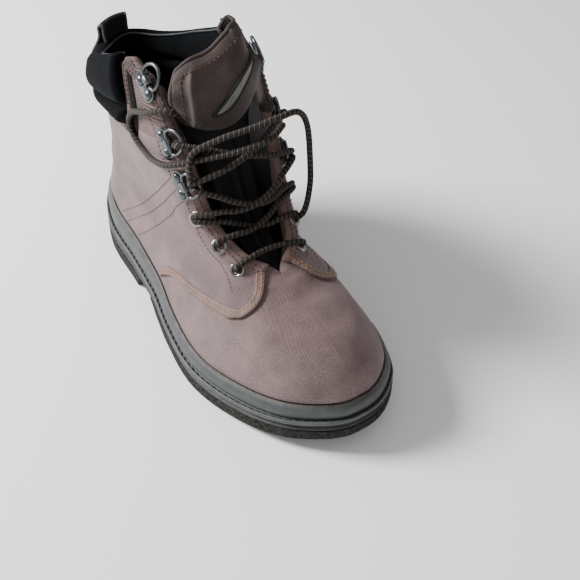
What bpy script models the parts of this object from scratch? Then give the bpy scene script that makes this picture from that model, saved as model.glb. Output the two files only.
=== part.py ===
# Wading boot for the right foot, standing empty on its sole.
# Metres, +Z up, toe towards +X, outer (lateral) side towards -Y.
# The origin is under the middle of the boot, on the floor.
import math

import bmesh
import bpy
import numpy as np
from mathutils import Vector
from mathutils.bvhtree import BVHTree

# Sole
SOLE_LENGTH = 0.312
HEEL_WIDTH = 0.088
WAIST_WIDTH = 0.086
BALL_WIDTH = 0.117
TOE_DRIFT = 0.006          # how far the toe swings towards the inner side
TOE_SPRING = 0.013
SOLE_ROUND = 2.6           # roundness of the outline's two ends
FELT_HEEL = 0.011          # outsole thickness under the heel
FELT_BALL = 0.008
STEP_HEEL = 0.022          # floor to the welt ledge at the heel
STEP_BALL = 0.016
RAND_HEEL = 0.016          # rand's height above the welt ledge
RAND_BALL = 0.0105
LIP_INSET = 0.0005         # lip of the midsole, in from the felt's outline
LIP_THICK = 0.0032
MIDSOLE_WAIST = 0.0022     # how far the midsole's side is drawn in under its lip
RAND_FOOT_INSET = 0.0034
RAND_TOP_INSET = 0.0062
UPPER_INSET = 0.0074
INSOLE_THICK = 0.004
FIT_GAP = 0.0003

# Upper
WALL = 0.0022
QUARTER_THICK = 0.0013
TAB_HEIGHT = 0.190         # top of the eyestay tabs
BACK_HEIGHT = 0.140        # top of the shaft at the back, under the collar's roll
SHAFT_WIDTH = 0.078
INSTEP_WIDTH = 0.078
TOE_BOX_WIDTH = 0.104
HEEL_CUP_WIDTH = 0.070
FACING_GAP = 0.064         # between the two tabs
HEEL_ROUND = 0.046
TOPLINE_DIP = 0.010
TAB_CORNER = 0.011         # how far the tabs' front corners are rounded off
COLLAR_OUT = 0.0062        # how far the collar's bulges stand out
COLLAR_IN = 0.0055
COLLAR_ROLL = 0.0045

# Tongue
TONGUE_THICK = 0.0055
TONGUE_HEIGHT = 0.203
TONGUE_SWAY = -0.0035      # the flap's drift to the outer side
PATCH_THICK = 0.0007
PATCH_CLEAR = 0.0011       # over the flap's rounded face

# Fastenings
EYELET_OUT = 0.0102
EYELET_HOLE = 0.0052
EYELET_WALL = 0.0006
EYELET_RISE = 0.0011
PLATE_LONG = 0.0195
PLATE_WIDE = 0.0090
PLATE_THICK = 0.0011
RIVET_WIDE = 0.0068
RIVET_RISE = 0.0019
RIVET_SPACE = 0.0105       # between a plate's two rivets
CLIP_LONG = 0.0060         # clip that holds the ring's straight bar
CLIP_SKIN = 0.0008
RING_WIRE = 0.0022
RING_LONG = 0.0150
RING_REACH = 0.0115
RING_LEAN = -3             # degrees, from lying along the facing
RING_GAP = 0.0004          # play of the wire in its clip
LACE_THICK = 0.0038

# Pull loop
LOOP_THICK = 0.0018
LOOP_RISE = 0.0145         # above the collar's rim
LOOP_LEFT = -0.265         # the loop's two edges along the top line, 0 at the heel
LOOP_RIGHT = 0.045

COLUMNS = 18               # facets along each side, heel to toe
CUT_DEPTH = 0.007          # how far the guides reach to each side of the upper's surface

# Sole outline. Half widths are shares of the width in the second column.
# along: share of the sole's length from the heel
OUTLINE = (
    # along, width, lateral, medial
    (0.00, HEEL_WIDTH, 0.59, 0.48),
    (0.18, HEEL_WIDTH, 0.61, 0.54),
    (0.34, WAIST_WIDTH, 0.588, 0.437),
    (0.44, WAIST_WIDTH, 0.599, 0.407),
    (0.56, BALL_WIDTH, 0.492, 0.359),
    (0.70, BALL_WIDTH, 0.533, 0.504),
    (0.82, BALL_WIDTH, 0.504, 0.607),
    (0.92, BALL_WIDTH, 0.470, 0.590),
    (1.00, BALL_WIDTH, 0.359, 0.479),
)

# Level lines of the upper, from the rand's top (0) to the top line (1).
# ridge_x, back_x: shares of the sole's length; ridge_z: share of the tab's height;
# back_z: share of the back's height; edge: facing edge from the middle, share of FACING_GAP;
# corner: how far back the front rounds off, share of the ball's width
LEVELS = (
    # level, ridge_x, ridge_z, back_x, back_z, edge, corner
    (0.00, 0.976, 0.206, 0.023, 0.271, 0.00, 0.50),
    (0.08, 0.974, 0.247, 0.026, 0.307, 0.00, 0.50),
    (0.16, 0.958, 0.295, 0.031, 0.350, 0.00, 0.50),
    (0.25, 0.920, 0.339, 0.036, 0.400, 0.00, 0.50),
    (0.34, 0.859, 0.374, 0.041, 0.460, 0.00, 0.48),
    (0.41, 0.795, 0.403, 0.046, 0.514, 0.00, 0.46),
    (0.46, 0.740, 0.426, 0.050, 0.553, 0.00, 0.44),
    (0.53, 0.683, 0.463, 0.055, 0.610, 0.22, 0.36),
    (0.60, 0.635, 0.505, 0.058, 0.667, 0.31, 0.30),
    (0.68, 0.596, 0.568, 0.059, 0.733, 0.37, 0.25),
    (0.77, 0.567, 0.668, 0.057, 0.805, 0.41, 0.20),
    (0.86, 0.529, 0.779, 0.052, 0.878, 0.44, 0.17),
    (0.93, 0.481, 0.889, 0.047, 0.940, 0.47, 0.14),
    (1.00, 0.388, 0.995, 0.043, 1.000, 0.50, 0.13),
)
THROAT = 0.46              # level where the throat opens

# Half widths of the upper along a level line, before its ends are rounded.
# heel: share of HEEL_CUP_WIDTH; waist: of INSTEP_WIDTH; instep: of INSTEP_WIDTH;
# fore and front: of TOE_BOX_WIDTH below the throat's level and of SHAFT_WIDTH above it
GIRTHS = (
    # level, heel, waist, instep, fore, front
    (0.00, 0.55, 0.54, 0.60, 0.50, 0.50),
    (0.08, 0.51, 0.50, 0.585, 0.47, 0.48),
    (0.16, 0.48, 0.46, 0.55, 0.425, 0.44),
    (0.25, 0.46, 0.43, 0.51, 0.375, 0.385),
    (0.34, 0.45, 0.42, 0.47, 0.325, 0.33),
    (0.46, 0.45, 0.42, 0.44, 0.29, 0.28),
    (0.60, 0.45, 0.43, 0.455, 0.335, 0.335),
    (0.77, 0.44, 0.435, 0.465, 0.350, 0.345),
    (0.86, 0.44, 0.445, 0.475, 0.360, 0.345),
    (1.00, 0.46, 0.475, 0.50, 0.370, 0.345),
)
STATIONS = (0.10, 0.35, 0.60, 0.80, 1.00)

# Quarter overlay: how far forward it reaches at each level (share heel to front)
QUARTER_FRONT = (
    # level, reach
    (-0.10, 0.470),
    (0.10, 0.480),
    (0.16, 0.500),
    (0.20, 0.535),
    (0.225, 0.590),
    (0.25, 0.680),
    (0.28, 0.775),
    (0.33, 0.860),
    (0.38, 0.922),
    (0.42, 0.957),
    (0.45, 0.976),
    (0.475, 0.987),
    (0.50, 0.998),
    (0.52, 1.030),
)
QUARTER_FOOT = 0.095        # level of the quarters' lower edge over the rand
HEEL_SEAM = 0.0015          # half the gap between the quarters at the heel, as a place
COLLAR_FOOT = 0.850        # level of the collar's lower edge
TAB_REAR_LOW = 0.565       # tab's rear edge along the level line, at the collar's foot
TAB_REAR_TOP = 0.850       # and at the top line

# Fastenings on each side, from the vamp up: level, and place from the heel (0) to the edge (1)
EYELETS = (
    ("low", 0.474, 0.964),
    ("middle", 0.570, 0.988),
    ("top", 0.660, 0.980),
)
RINGS = (
    ("low", 0.760, 0.975),
    ("middle", 0.862, 0.972),
    ("top", 0.954, 0.980),
)

# Lace. Places are x from the heel's end, y and z.
LACE_CLEAR = 0.0010
RING_TUCK = 0.0009          # how far a strand's end comes in towards its ring
LACE_APART = 0.0056         # between the two strands at one eyelet or ring
LACE_BAR = (0.2150, 0.0, 0.0900)
LACE_CROSSES = (
    # name, lower pair, upper pair, where the two strands cross
    ("lace_cross_low", ("eyelet", "middle"), ("eyelet", "top"), (0.2020, 0.0, 0.0990)),
    ("lace_cross_middle", ("eyelet", "top"), ("ring", "low"), (0.2010, 0.0, 0.1150)),
    ("lace_cross_top", ("ring", "low"), ("ring", "middle"), (0.1910, 0.0, 0.1440)),
)
LACE_CORDS = (
    ("lace_loop_lateral", (
        (0.156, -0.0360, 0.1660), (0.146, -0.0412, 0.1610), (0.128, -0.0427, 0.1530),
        (0.116, -0.0417, 0.1410), (0.119, -0.0412, 0.1310), (0.131, -0.0407, 0.1270),
        (0.150, -0.0424, 0.1310), (0.168, -0.0400, 0.1370), (0.183, -0.0280, 0.1450),
        (0.196, -0.0080, 0.1520), (0.200, 0.0090, 0.1560), (0.193, 0.0230, 0.1580),
    )),
    ("lace_loop_medial", (
        (0.188, -0.0160, 0.1580), (0.194, 0.0000, 0.1630), (0.199, 0.0160, 0.1680),
        (0.198, 0.0300, 0.1670), (0.196, 0.0380, 0.1540), (0.199, 0.0390, 0.1300),
        (0.201, 0.0380, 0.1130), (0.2045, 0.0320, 0.0990), (0.2011, 0.0263, 0.0922),
    )),
)

# Patch on the tongue's flap, as shares of the flap's two directions
PATCH_ACROSS = 0.25
PATCH_ALONG = 0.80
PATCH_LONG = 0.62
PATCH_WIDE = 0.12
PATCH_RUN = 0.93
PATCH_RISE = 0.37

# Tongue sections from its sewn end to its top edge, which folds forward as a padded flap.
# x: share of the sole's length; z: share of the tongue's height; half: half width as a share
# of FACING_GAP; back: how far its edges lie behind its middle, share of FACING_GAP;
# lift: how much its edges stand above its middle; twist: its inner edge above its middle,
# both shares of the tongue's height
TONGUE = (
    # along, x, z, half, back, lift, twist
    (0.00, 0.752, 0.350, 0.14, 0.03, 0.00, 0.00),
    (0.10, 0.706, 0.382, 0.17, 0.05, 0.00, 0.00),
    (0.20, 0.652, 0.415, 0.21, 0.08, 0.00, 0.00),
    (0.30, 0.600, 0.475, 0.27, 0.13, 0.00, 0.00),
    (0.40, 0.560, 0.570, 0.31, 0.15, 0.00, 0.00),
    (0.50, 0.534, 0.665, 0.35, 0.13, 0.00, 0.00),
    (0.56, 0.518, 0.715, 0.38, 0.10, 0.02, 0.00),
    (0.62, 0.536, 0.738, 0.41, 0.14, 0.05, 0.00),
    (0.68, 0.556, 0.765, 0.43, 0.20, 0.06, 0.00),
    (0.75, 0.562, 0.815, 0.46, 0.20, 0.04, 0.01),
    (0.82, 0.555, 0.880, 0.47, 0.15, 0.01, 0.025),
    (0.89, 0.541, 0.940, 0.46, 0.10, -0.02, 0.040),
    (0.95, 0.525, 0.985, 0.43, 0.06, -0.04, 0.045),
    (1.00, 0.509, 1.010, 0.37, 0.04, -0.04, 0.045),
)


def smooth_step(value):
    value = np.clip(value, 0.0, 1.0)
    return value * value * (3.0 - 2.0 * value)


def curve_through(places, values):
    """A smooth function through the given values, without overshoot between them."""
    places = np.asarray(places, float)
    values = np.asarray(values, float)
    steps = np.diff(places)
    slopes = np.diff(values) / steps
    tangents = np.zeros_like(values)
    tangents[0], tangents[-1] = slopes[0], slopes[-1]
    for i in range(1, len(values) - 1):
        if slopes[i - 1] * slopes[i] > 0:
            left, right = 2 * steps[i] + steps[i - 1], steps[i] + 2 * steps[i - 1]
            tangents[i] = (left + right) / (left / slopes[i - 1] + right / slopes[i])

    def at(place):
        place = min(max(place, places[0]), places[-1])
        i = min(max(int(np.searchsorted(places, place)) - 1, 0), len(steps) - 1)
        step = steps[i]
        k = (place - places[i]) / step
        return (
            (1 + 2 * k) * (1 - k) ** 2 * values[i]
            + k * (1 - k) ** 2 * step * tangents[i]
            + k * k * (3 - 2 * k) * values[i + 1]
            + k * k * (k - 1) * step * tangents[i + 1]
        )

    return at


def column_curve(table, column, scale=1.0):
    return curve_through([row[0] for row in table], [row[column] * scale for row in table])


def rounding(distance, radius, power=2.3):
    """0 at an end, 1 from the radius on, with a round shoulder between."""
    k = 1.0 - min(max(distance / radius, 0.0), 1.0)
    return (1.0 - k**power) ** (1.0 / power)


lateral_half = curve_through([r[0] for r in OUTLINE], [r[1] * r[2] for r in OUTLINE])
medial_half = curve_through([r[0] for r in OUTLINE], [r[1] * r[3] for r in OUTLINE])


def toe_shift(along):
    return TOE_DRIFT * max((along - 0.75) / 0.25, 0.0) ** 2


def outline_point(along, side):
    """A point of the sole's outline, x from the heel's end. side: -1 outer, 1 inner."""
    end = (1.0 - abs(2.0 * along - 1.0) ** SOLE_ROUND) ** (1.0 / SOLE_ROUND)
    half = (lateral_half if side < 0 else medial_half)(along) * end
    return Vector((SOLE_LENGTH * along, toe_shift(along) + side * half, 0.0))


# The boot's box is centred on the origin, so the outline's middle gives the frame
_sides = [[outline_point(i / 200, side).y for i in range(201)] for side in (-1, 1)]
MIDDLE = Vector((SOLE_LENGTH / 2, (min(_sides[0]) + max(_sides[1])) / 2, 0.0))


def cosine_share(part):
    return (1.0 - math.cos(math.pi * part)) / 2.0


def inset_point(part, side, inset):
    """A point of the outline moved inwards. part: 0 heel, 1 toe, evenly round the curve."""
    step = 0.004
    here = outline_point(cosine_share(part), side)

    def near(value):
        if value < 0:
            return outline_point(cosine_share(-value), -side)
        if value > 1:
            return outline_point(cosine_share(2 - value), -side)
        return outline_point(cosine_share(value), side)

    run = near(part + step) - near(part - step)
    inward = Vector((-run.y, run.x, 0.0)).normalized() * (-side)
    return here + inward * inset


def height(x, heel, ball):
    """A height that falls from the heel to the ball and rises with the toe spring."""
    along = x / SOLE_LENGTH
    fall = smooth_step((along - 0.25) / 0.40)
    spring = TOE_SPRING * max((along - 0.68) / 0.32, 0.0) ** 2
    return heel * (1.0 - fall) + ball * fall + spring


def make_material(name, colour, rough, metal=0.0):
    material = bpy.data.materials.new(name)
    material.use_nodes = True
    shader = material.node_tree.nodes["Principled BSDF"]
    shader.inputs["Base Color"].default_value = (*colour, 1.0)
    shader.inputs["Roughness"].default_value = rough
    shader.inputs["Metallic"].default_value = metal
    material.diffuse_color = (*colour, 1.0)
    return material


def make_object(name, bm, material, flat_angle=40.0):
    """Closes off a mesh as one object, seen from the boot's own frame."""
    bmesh.ops.remove_doubles(bm, verts=bm.verts, dist=2e-6)
    bmesh.ops.dissolve_degenerate(bm, edges=bm.edges, dist=2e-6)
    bmesh.ops.recalc_face_normals(bm, faces=bm.faces)
    mesh = bpy.data.meshes.new(name)
    bm.to_mesh(mesh)
    bm.free()
    mesh.shade_smooth()
    mesh.set_sharp_from_angle(angle=math.radians(flat_angle))
    mesh.materials.append(material)
    obj = bpy.data.objects.new(name, mesh)
    bpy.context.scene.collection.objects.link(obj)
    return obj


def frame_point(point):
    return Vector(point) - MIDDLE


def slab(name, rings, material):
    """A solid from stacked rings. Each ring is a pair of lists, its outer and inner points."""
    bm = bmesh.new()
    loops = []
    for outer_side, inner_side in rings:
        outer = [bm.verts.new(frame_point(p)) for p in outer_side]
        inner = [bm.verts.new(frame_point(p)) for p in inner_side]
        loops.append((outer, inner))
    for (low_out, low_in), (top_out, top_in) in zip(loops, loops[1:]):
        low = low_out + low_in[::-1]
        top = top_out + top_in[::-1]
        for i in range(len(low)):
            j = (i + 1) % len(low)
            bm.faces.new((low[i], low[j], top[j], top[i]))
    for outer, inner in (loops[0], loops[-1]):
        for i in range(len(outer) - 1):
            bm.faces.new((outer[i], outer[i + 1], inner[i + 1], inner[i]))
    return make_object(name, bm, material)


def sole_ring(inset, heel, ball, first=0.0, last=1.0, count=COLUMNS):
    """One ring of a sole layer between two places along the sole."""
    start = math.acos(1 - 2 * first) / math.pi
    stop = math.acos(1 - 2 * last) / math.pi
    sides = []
    for side in (-1, 1):
        points = []
        for i in range(count + 1):
            point = inset_point(start + (stop - start) * i / count, side, inset)
            point.z = height(point.x, heel, ball)
            points.append(point)
        sides.append(points)
    return sides


def ring_solid(name, rings, material):
    """A solid hoop: rings of equal count that close on each other in section."""
    bm = bmesh.new()
    rows = [[bm.verts.new(frame_point(p)) for p in ring] for ring in rings]
    for a, b in zip(rows, rows[1:] + rows[:1]):
        for i in range(len(a)):
            j = (i + 1) % len(a)
            bm.faces.new((a[i], a[j], b[j], b[i]))
    return make_object(name, bm, material)


def sheet_solid(name, outer, inner, material, joined=0, mirrored=None):
    """A thick sheet between two grids of rows. The first rows, joined in number, close on
    themselves from their last column to their first. Faces are split along mirrored diagonals
    from that column on."""
    bm = bmesh.new()

    def grid(rows):
        made = []
        for index, row in enumerate(rows):
            verts = [bm.verts.new(frame_point(p)) for p in row[: -1 if index < joined else None]]
            made.append(verts + verts[:1] if index < joined else verts)
        return made

    faces, backs = grid(outer), grid(inner)
    last = len(outer[0]) - 1
    for rows in (faces, backs):
        for low, top in zip(rows, rows[1:]):
            for i in range(last):
                if mirrored is None or i < mirrored:
                    bm.faces.new((low[i], low[i + 1], top[i + 1]))
                    bm.faces.new((low[i], top[i + 1], top[i]))
                else:
                    bm.faces.new((low[i], low[i + 1], top[i]))
                    bm.faces.new((low[i + 1], top[i + 1], top[i]))
    for row in (0, len(faces) - 1):
        for i in range(last):
            bm.faces.new((faces[row][i], faces[row][i + 1], backs[row][i + 1], backs[row][i]))
    for row in range(max(joined - 1, 0), len(faces) - 1):
        for column in (0, last):
            bm.faces.new((faces[row][column], faces[row + 1][column],
                          backs[row + 1][column], backs[row][column]))
    return make_object(name, bm, material)


# The upper's form
ridge_x = column_curve(LEVELS, 1, SOLE_LENGTH)
ridge_z = column_curve(LEVELS, 2, TAB_HEIGHT)
back_x = column_curve(LEVELS, 3, SOLE_LENGTH)
back_z = column_curve(LEVELS, 4, BACK_HEIGHT)
edge_half = column_curve(LEVELS, 5, FACING_GAP)
corner_run = column_curve(LEVELS, 6, BALL_WIDTH)
girth_curves = [
    column_curve(GIRTHS, 1, HEEL_CUP_WIDTH),
    column_curve(GIRTHS, 2, INSTEP_WIDTH),
    column_curve(GIRTHS, 3, INSTEP_WIDTH),
    column_curve(GIRTHS, 4),
    column_curve(GIRTHS, 5),
]


def half_girth(level, share):
    front_width = TOE_BOX_WIDTH
    if level > THROAT:
        blend = smooth_step((level - THROAT) / 0.10)
        front_width = TOE_BOX_WIDTH + (SHAFT_WIDTH / 0.75 - TOE_BOX_WIDTH) * blend
    values = [curve(level) for curve in girth_curves[:3]]
    values += [curve(level) * front_width for curve in girth_curves[3:]]
    return curve_through(STATIONS, values)(share)


def footprint_point(part, side, climb):
    """The upper's straight foot behind the rand. climb: 0 at the welt ledge, 1 at the rand's top."""
    point = inset_point(part, side, UPPER_INSET)
    low = height(point.x, STEP_HEEL, STEP_BALL) + FIT_GAP
    top = height(point.x, STEP_HEEL + RAND_HEEL, STEP_BALL + RAND_BALL)
    point.z = low + (top - low) * climb
    return point


def level_share(part, level):
    """Place along a level line. Spacing is fine at the heel, and at the toe below the throat."""
    both = cosine_share(part)
    rear = 1.0 - math.cos(math.pi * part / 2.0)
    blend = smooth_step((level - 0.15) / (THROAT - 0.15))
    return both + (rear - both) * blend


def upper_point(place, level):
    """Outer surface of the upper. place: -1 outer front edge, 0 heel, 1 inner front edge."""
    part = abs(place)
    side = -1 if place < 0 else 1
    if part > 1.0:
        edge = upper_point(side, level)
        return edge + (edge - upper_point(side * 0.97, level)) * ((part - 1.0) / 0.03)
    if level <= 0.0:
        return footprint_point(part, side, 1.0 + level)
    share = level_share(part, level)
    x = back_x(level) + (ridge_x(level) - back_x(level)) * share
    z = back_z(level) + (ridge_z(level) - back_z(level)) * share
    z -= TOPLINE_DIP * (1 - abs(2 * share - 1) ** 4) * smooth_step((level - 0.6) / 0.4)
    z -= TAB_CORNER * (1 - rounding(ridge_x(level) - x, TAB_CORNER, 2.0)) * smooth_step(level * 16 - 15)
    half = half_girth(level, share) * rounding(x - back_x(level), HEEL_ROUND, 2.0)
    edge = edge_half(level) if level > THROAT else 0.0
    half = edge + (half - edge) * rounding(ridge_x(level) - x, corner_run(level))
    point = Vector((x, toe_shift(x / SOLE_LENGTH) + side * half, z))
    foot = footprint_point(part, side, 1.0)
    return foot.lerp(point, smooth_step(level / 0.30))


def surface_normal(place, level):
    step = 0.004

    def along(value):
        if abs(value) > 1.0 and level <= THROAT:
            return upper_point(value - math.copysign(2.0, value), level)
        return upper_point(value, level)

    low, top = max(level - step, -1.0), min(level + step, 1.0)
    run = along(place + step) - along(place - step)
    rise = upper_point(place, top) - upper_point(place, low)
    return rise.cross(run).normalized()


def upper_offset(place, level, offset, lift=0.0):
    """A point off the upper's outer surface, outwards if positive."""
    point = upper_point(place, level) + surface_normal(place, level) * offset
    return point + Vector((0.0, 0.0, lift))


UPPER_LEVELS = (-1.0, 0.0, 0.07, 0.15, 0.24, 0.33, 0.41, THROAT, 0.48, 0.51, 0.55,
                0.61, 0.69, 0.78, 0.87, 0.93, 0.968, 1.0)
UPPER_PLACES = [i / COLUMNS for i in range(-COLUMNS, COLUMNS + 1)]


def upper_grid(offset):
    return [[upper_offset(p, level, offset) for p in UPPER_PLACES] for level in UPPER_LEVELS]


def cut_away(obj, cutter, operation):
    modifier = obj.modifiers.new("cut", "BOOLEAN")
    modifier.object = cutter
    modifier.operation = operation
    modifier.solver = "EXACT"
    return modifier


def make_sole(felt, rubber, rand_rubber, board):
    """Felt outsoles, midsole, rand and insole, from the floor up."""
    pads = (
        ("outsole_heel", 0.0, 0.355, 0.0, 0.375),
        ("outsole_forefoot", 0.475, 1.0, 0.435, 1.0),
    )
    for name, low_first, low_last, top_first, top_last in pads:
        low, top = (low_first, low_last, COLUMNS // 2), (top_first, top_last, COLUMNS // 2)
        slab(name, (
            sole_ring(0.0012, 0.0, 0.0, *low),
            sole_ring(0.0, 0.0012, 0.0012, *low),
            sole_ring(0.0002, FELT_HEEL, FELT_BALL, *top),
        ), felt)
    foot_heel, foot_ball = FELT_HEEL + FIT_GAP, FELT_BALL + FIT_GAP
    slab("midsole", (
        sole_ring(0.0014, foot_heel, foot_ball),
        sole_ring(0.0004, foot_heel + 0.0010, foot_ball + 0.0010),
        sole_ring(MIDSOLE_WAIST, STEP_HEEL - LIP_THICK - 0.001, STEP_BALL - LIP_THICK - 0.001),
        sole_ring(LIP_INSET + 0.0004, STEP_HEEL - LIP_THICK, STEP_BALL - LIP_THICK),
        sole_ring(LIP_INSET, STEP_HEEL - LIP_THICK / 2, STEP_BALL - LIP_THICK / 2),
        sole_ring(LIP_INSET + 0.0006, STEP_HEEL - 0.0004, STEP_BALL - 0.0004),
        sole_ring(LIP_INSET + 0.0018, STEP_HEEL, STEP_BALL),
    ), rubber)

    def rand_ring(inset, climb):
        points = []
        for place in UPPER_PLACES[:-1]:
            point = inset_point(abs(place), -1 if place < 0 else 1, inset)
            low = height(point.x, STEP_HEEL, STEP_BALL) + FIT_GAP
            top = height(point.x, STEP_HEEL + RAND_HEEL, STEP_BALL + RAND_BALL)
            point.z = low + (top - low) * climb
            points.append(point)
        return points

    belly = RAND_FOOT_INSET - 0.0006
    inner = UPPER_INSET - FIT_GAP
    ring_solid("rand", (
        rand_ring(RAND_FOOT_INSET, 0.0),
        rand_ring(belly, 0.20),
        rand_ring(belly + 0.0002, 0.48),
        rand_ring(belly + 0.0010, 0.74),
        rand_ring(RAND_TOP_INSET - 0.0008, 0.94),
        rand_ring(RAND_TOP_INSET, 1.0),
        rand_ring(inner, 0.97),
        rand_ring(inner, 0.0),
    ), rand_rubber)
    seat = UPPER_INSET + WALL + 2 * FIT_GAP
    bed_heel, bed_ball = STEP_HEEL + FIT_GAP, STEP_BALL + FIT_GAP
    slab("insole", (
        sole_ring(seat, bed_heel, bed_ball),
        sole_ring(seat, bed_heel + INSOLE_THICK * 0.8, bed_ball + INSOLE_THICK * 0.8),
        sole_ring(seat + 0.001, bed_heel + INSOLE_THICK, bed_ball + INSOLE_THICK),
    ), board)


quarter_reach = curve_through([r[0] for r in QUARTER_FRONT], [r[1] for r in QUARTER_FRONT])


def tab_rear(level):
    """The tab's rear edge as a place, 0 heel to 1 front."""
    k = (level - COLLAR_FOOT) / (1.0 - COLLAR_FOOT)
    share = TAB_REAR_LOW + (TAB_REAR_TOP - TAB_REAR_LOW) * k
    return math.acos(1.0 - share) * 2.0 / math.pi


def surface_block(name, levels, reach, depth, rise, steps):
    """A thick slice along the upper's surface, for cutting. reach gives its two ends by level."""
    outer, inner = [], []
    for level in levels:
        first, last = reach(level)
        places = [first + (last - first) * i / steps for i in range(steps + 1)]
        outer.append([upper_offset(p, level, rise) for p in places])
        inner.append([upper_offset(p, level, -depth) for p in places])
    for rows in (outer, inner):
        rows.append([p + Vector((0.0, 0.0, 0.01)) for p in rows[-1]])
    block = sheet_solid(name, outer, inner, bpy.data.materials[0])
    block.hide_render = True
    block.display_type = "WIRE"
    return block


def collar_block():
    levels = [COLLAR_FOOT + (1.0 - COLLAR_FOOT) * k / 5 for k in range(6)]
    return surface_block("guide_collar", levels, lambda level: (-tab_rear(level), tab_rear(level)),
                         CUT_DEPTH, CUT_DEPTH, 40)


def quarter_block(side):
    levels = [row[0] for row in QUARTER_FRONT] + [0.53, 0.60, 0.70, 0.78, 0.86, 0.93, 1.0]
    return surface_block(f"guide_quarter_{side}", levels,
                         lambda level: (side * -0.05, side * quarter_reach(level)),
                         CUT_DEPTH, CUT_DEPTH, 20)


def make_upper(canvas, canvas_dark, padding, webbing):
    upper = sheet_solid("upper", upper_grid(0.0), upper_grid(-WALL), canvas,
                        joined=UPPER_LEVELS.index(THROAT) + 1, mirrored=COLUMNS)
    quarters = []
    collar = collar_block()
    for name, side in (("quarter_lateral", -1), ("quarter_medial", 1)):
        first = COLUMNS if side > 0 else 0
        places = [p if p else side * HEEL_SEAM for p in UPPER_PLACES[first:first + COLUMNS + 1]]
        levels = (QUARTER_FOOT,) + UPPER_LEVELS[3:]
        near, far = FIT_GAP, FIT_GAP + QUARTER_THICK
        shell = sheet_solid(
            name,
            [[upper_offset(p, level, far) for p in places] for level in levels],
            [[upper_offset(p, level, near) for p in places] for level in levels],
            canvas_dark, mirrored=None if side < 0 else 0)
        cut_away(shell, quarter_block(side), "INTERSECT")
        cut_away(shell, collar, "DIFFERENCE")
        quarters.append(shell)
    make_collar(padding)
    make_loop(webbing)
    return upper, quarters


def make_collar(padding):
    """A padded roll over the shaft's top edge, with two bulges inside and out."""
    steps = 7
    outer_path, inner_path = [], []
    for i in range(steps + 1):
        k = i / steps
        level = COLLAR_FOOT + 0.006 + (1.0 - COLLAR_FOOT - 0.006) * k
        bulge = abs(math.sin(2 * math.pi * k)) ** 0.7
        grow = 0.86 + 0.14 * k
        outer_path.append((level, 0.0014 + COLLAR_OUT * bulge * grow, COLLAR_ROLL * 0.4 * k**4))
        inner_path.append((level, 1.5 * FIT_GAP, 0.0))
    outer_path.append((1.0, 0.0010, COLLAR_ROLL))
    inner_path.append((1.0, 1.5 * FIT_GAP, 1.5 * FIT_GAP))
    outer_path.append((1.0, -WALL - 0.0012, COLLAR_ROLL))
    inner_path.append((1.0, -WALL - 1.5 * FIT_GAP, 1.5 * FIT_GAP))
    for i in range(steps, -1, -1):
        k = i / steps
        level = COLLAR_FOOT + 0.006 + (1.0 - COLLAR_FOOT - 0.006) * k
        bulge = abs(math.sin(2 * math.pi * k)) ** 0.7
        depth = WALL + 1.5 * FIT_GAP
        outer_path.append((level, -depth - 0.0012 - COLLAR_IN * bulge, COLLAR_ROLL * 0.3 * k**4))
        inner_path.append((level, -depth, 0.0))
    columns = 22

    def rows(path):
        made = []
        for level, offset, lift in path:
            reach = tab_rear(level) - 0.006
            made.append([
                upper_offset(reach * (2 * i / columns - 1), level, offset, lift)
                for i in range(columns + 1)
            ])
        return made

    sheet_solid("collar", rows(outer_path), rows(inner_path), padding)


def thick_sheet(name, rows, thickness, material):
    """A sheet of even thickness about a grid of points."""
    outer, inner = [], []
    for i, row in enumerate(rows):
        outer.append([])
        inner.append([])
        for j, point in enumerate(row):
            along = rows[min(i + 1, len(rows) - 1)][j] - rows[max(i - 1, 0)][j]
            across = row[min(j + 1, len(row) - 1)] - row[max(j - 1, 0)]
            normal = along.cross(across).normalized() * (thickness / 2)
            outer[-1].append(point + normal)
            inner[-1].append(point - normal)
    return sheet_solid(name, outer, inner, material)


def make_loop(webbing):
    """A flat webbing loop that stands over the collar at the heel."""
    clear = COLLAR_OUT + 0.0014 + LOOP_THICK
    path = (
        # level, distance out from the upper, height above the top line
        (0.950, clear, 0.0),
        (0.975, clear, 0.0),
        (1.000, clear - 0.0010, 0.0015),
        (1.000, 0.0030, COLLAR_ROLL + 0.0035),
        (1.000, 0.0022, COLLAR_ROLL + LOOP_RISE * 0.55),
        (1.000, 0.0024, COLLAR_ROLL + LOOP_RISE * 0.86),
        (1.000, 0.0008, COLLAR_ROLL + LOOP_RISE),
        (1.000, -0.0010, COLLAR_ROLL + LOOP_RISE * 0.84),
        (1.000, -0.0010, COLLAR_ROLL + LOOP_RISE * 0.50),
        (1.000, -0.0022, COLLAR_ROLL + 0.0016),
    )
    columns = 4
    places = [LOOP_LEFT + (LOOP_RIGHT - LOOP_LEFT) * i / columns for i in range(columns + 1)]
    rows = [[upper_offset(place, level, out, lift) for place in places]
            for level, out, lift in path]
    thick_sheet("pull_loop", rows, LOOP_THICK, webbing)


tongue_curves = [column_curve(TONGUE, 1, SOLE_LENGTH), column_curve(TONGUE, 2, TONGUE_HEIGHT),
                 column_curve(TONGUE, 3, FACING_GAP), column_curve(TONGUE, 4, FACING_GAP),
                 column_curve(TONGUE, 5, TONGUE_HEIGHT), column_curve(TONGUE, 6, TONGUE_HEIGHT)]


def tongue_point(across, along):
    """The tongue's front face. across: -1 outer edge, 1 inner edge; along: 0 sewn end, 1 top."""
    x, z, half, back, lift, twist = (curve(along) for curve in tongue_curves)
    sway = TONGUE_SWAY * smooth_step(along * 2 - 0.6)
    return Vector((x - back * across**2, sway + across * half,
                   z + lift * across**2 + twist * across))


def tongue_normal(across, along):
    step = 0.01
    run = tongue_point(across + step, along) - tongue_point(across - step, along)
    low, top = max(along - step, 0.0), min(along + step, 1.0)
    return run.cross(tongue_point(across, top) - tongue_point(across, low)).normalized()


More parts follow.
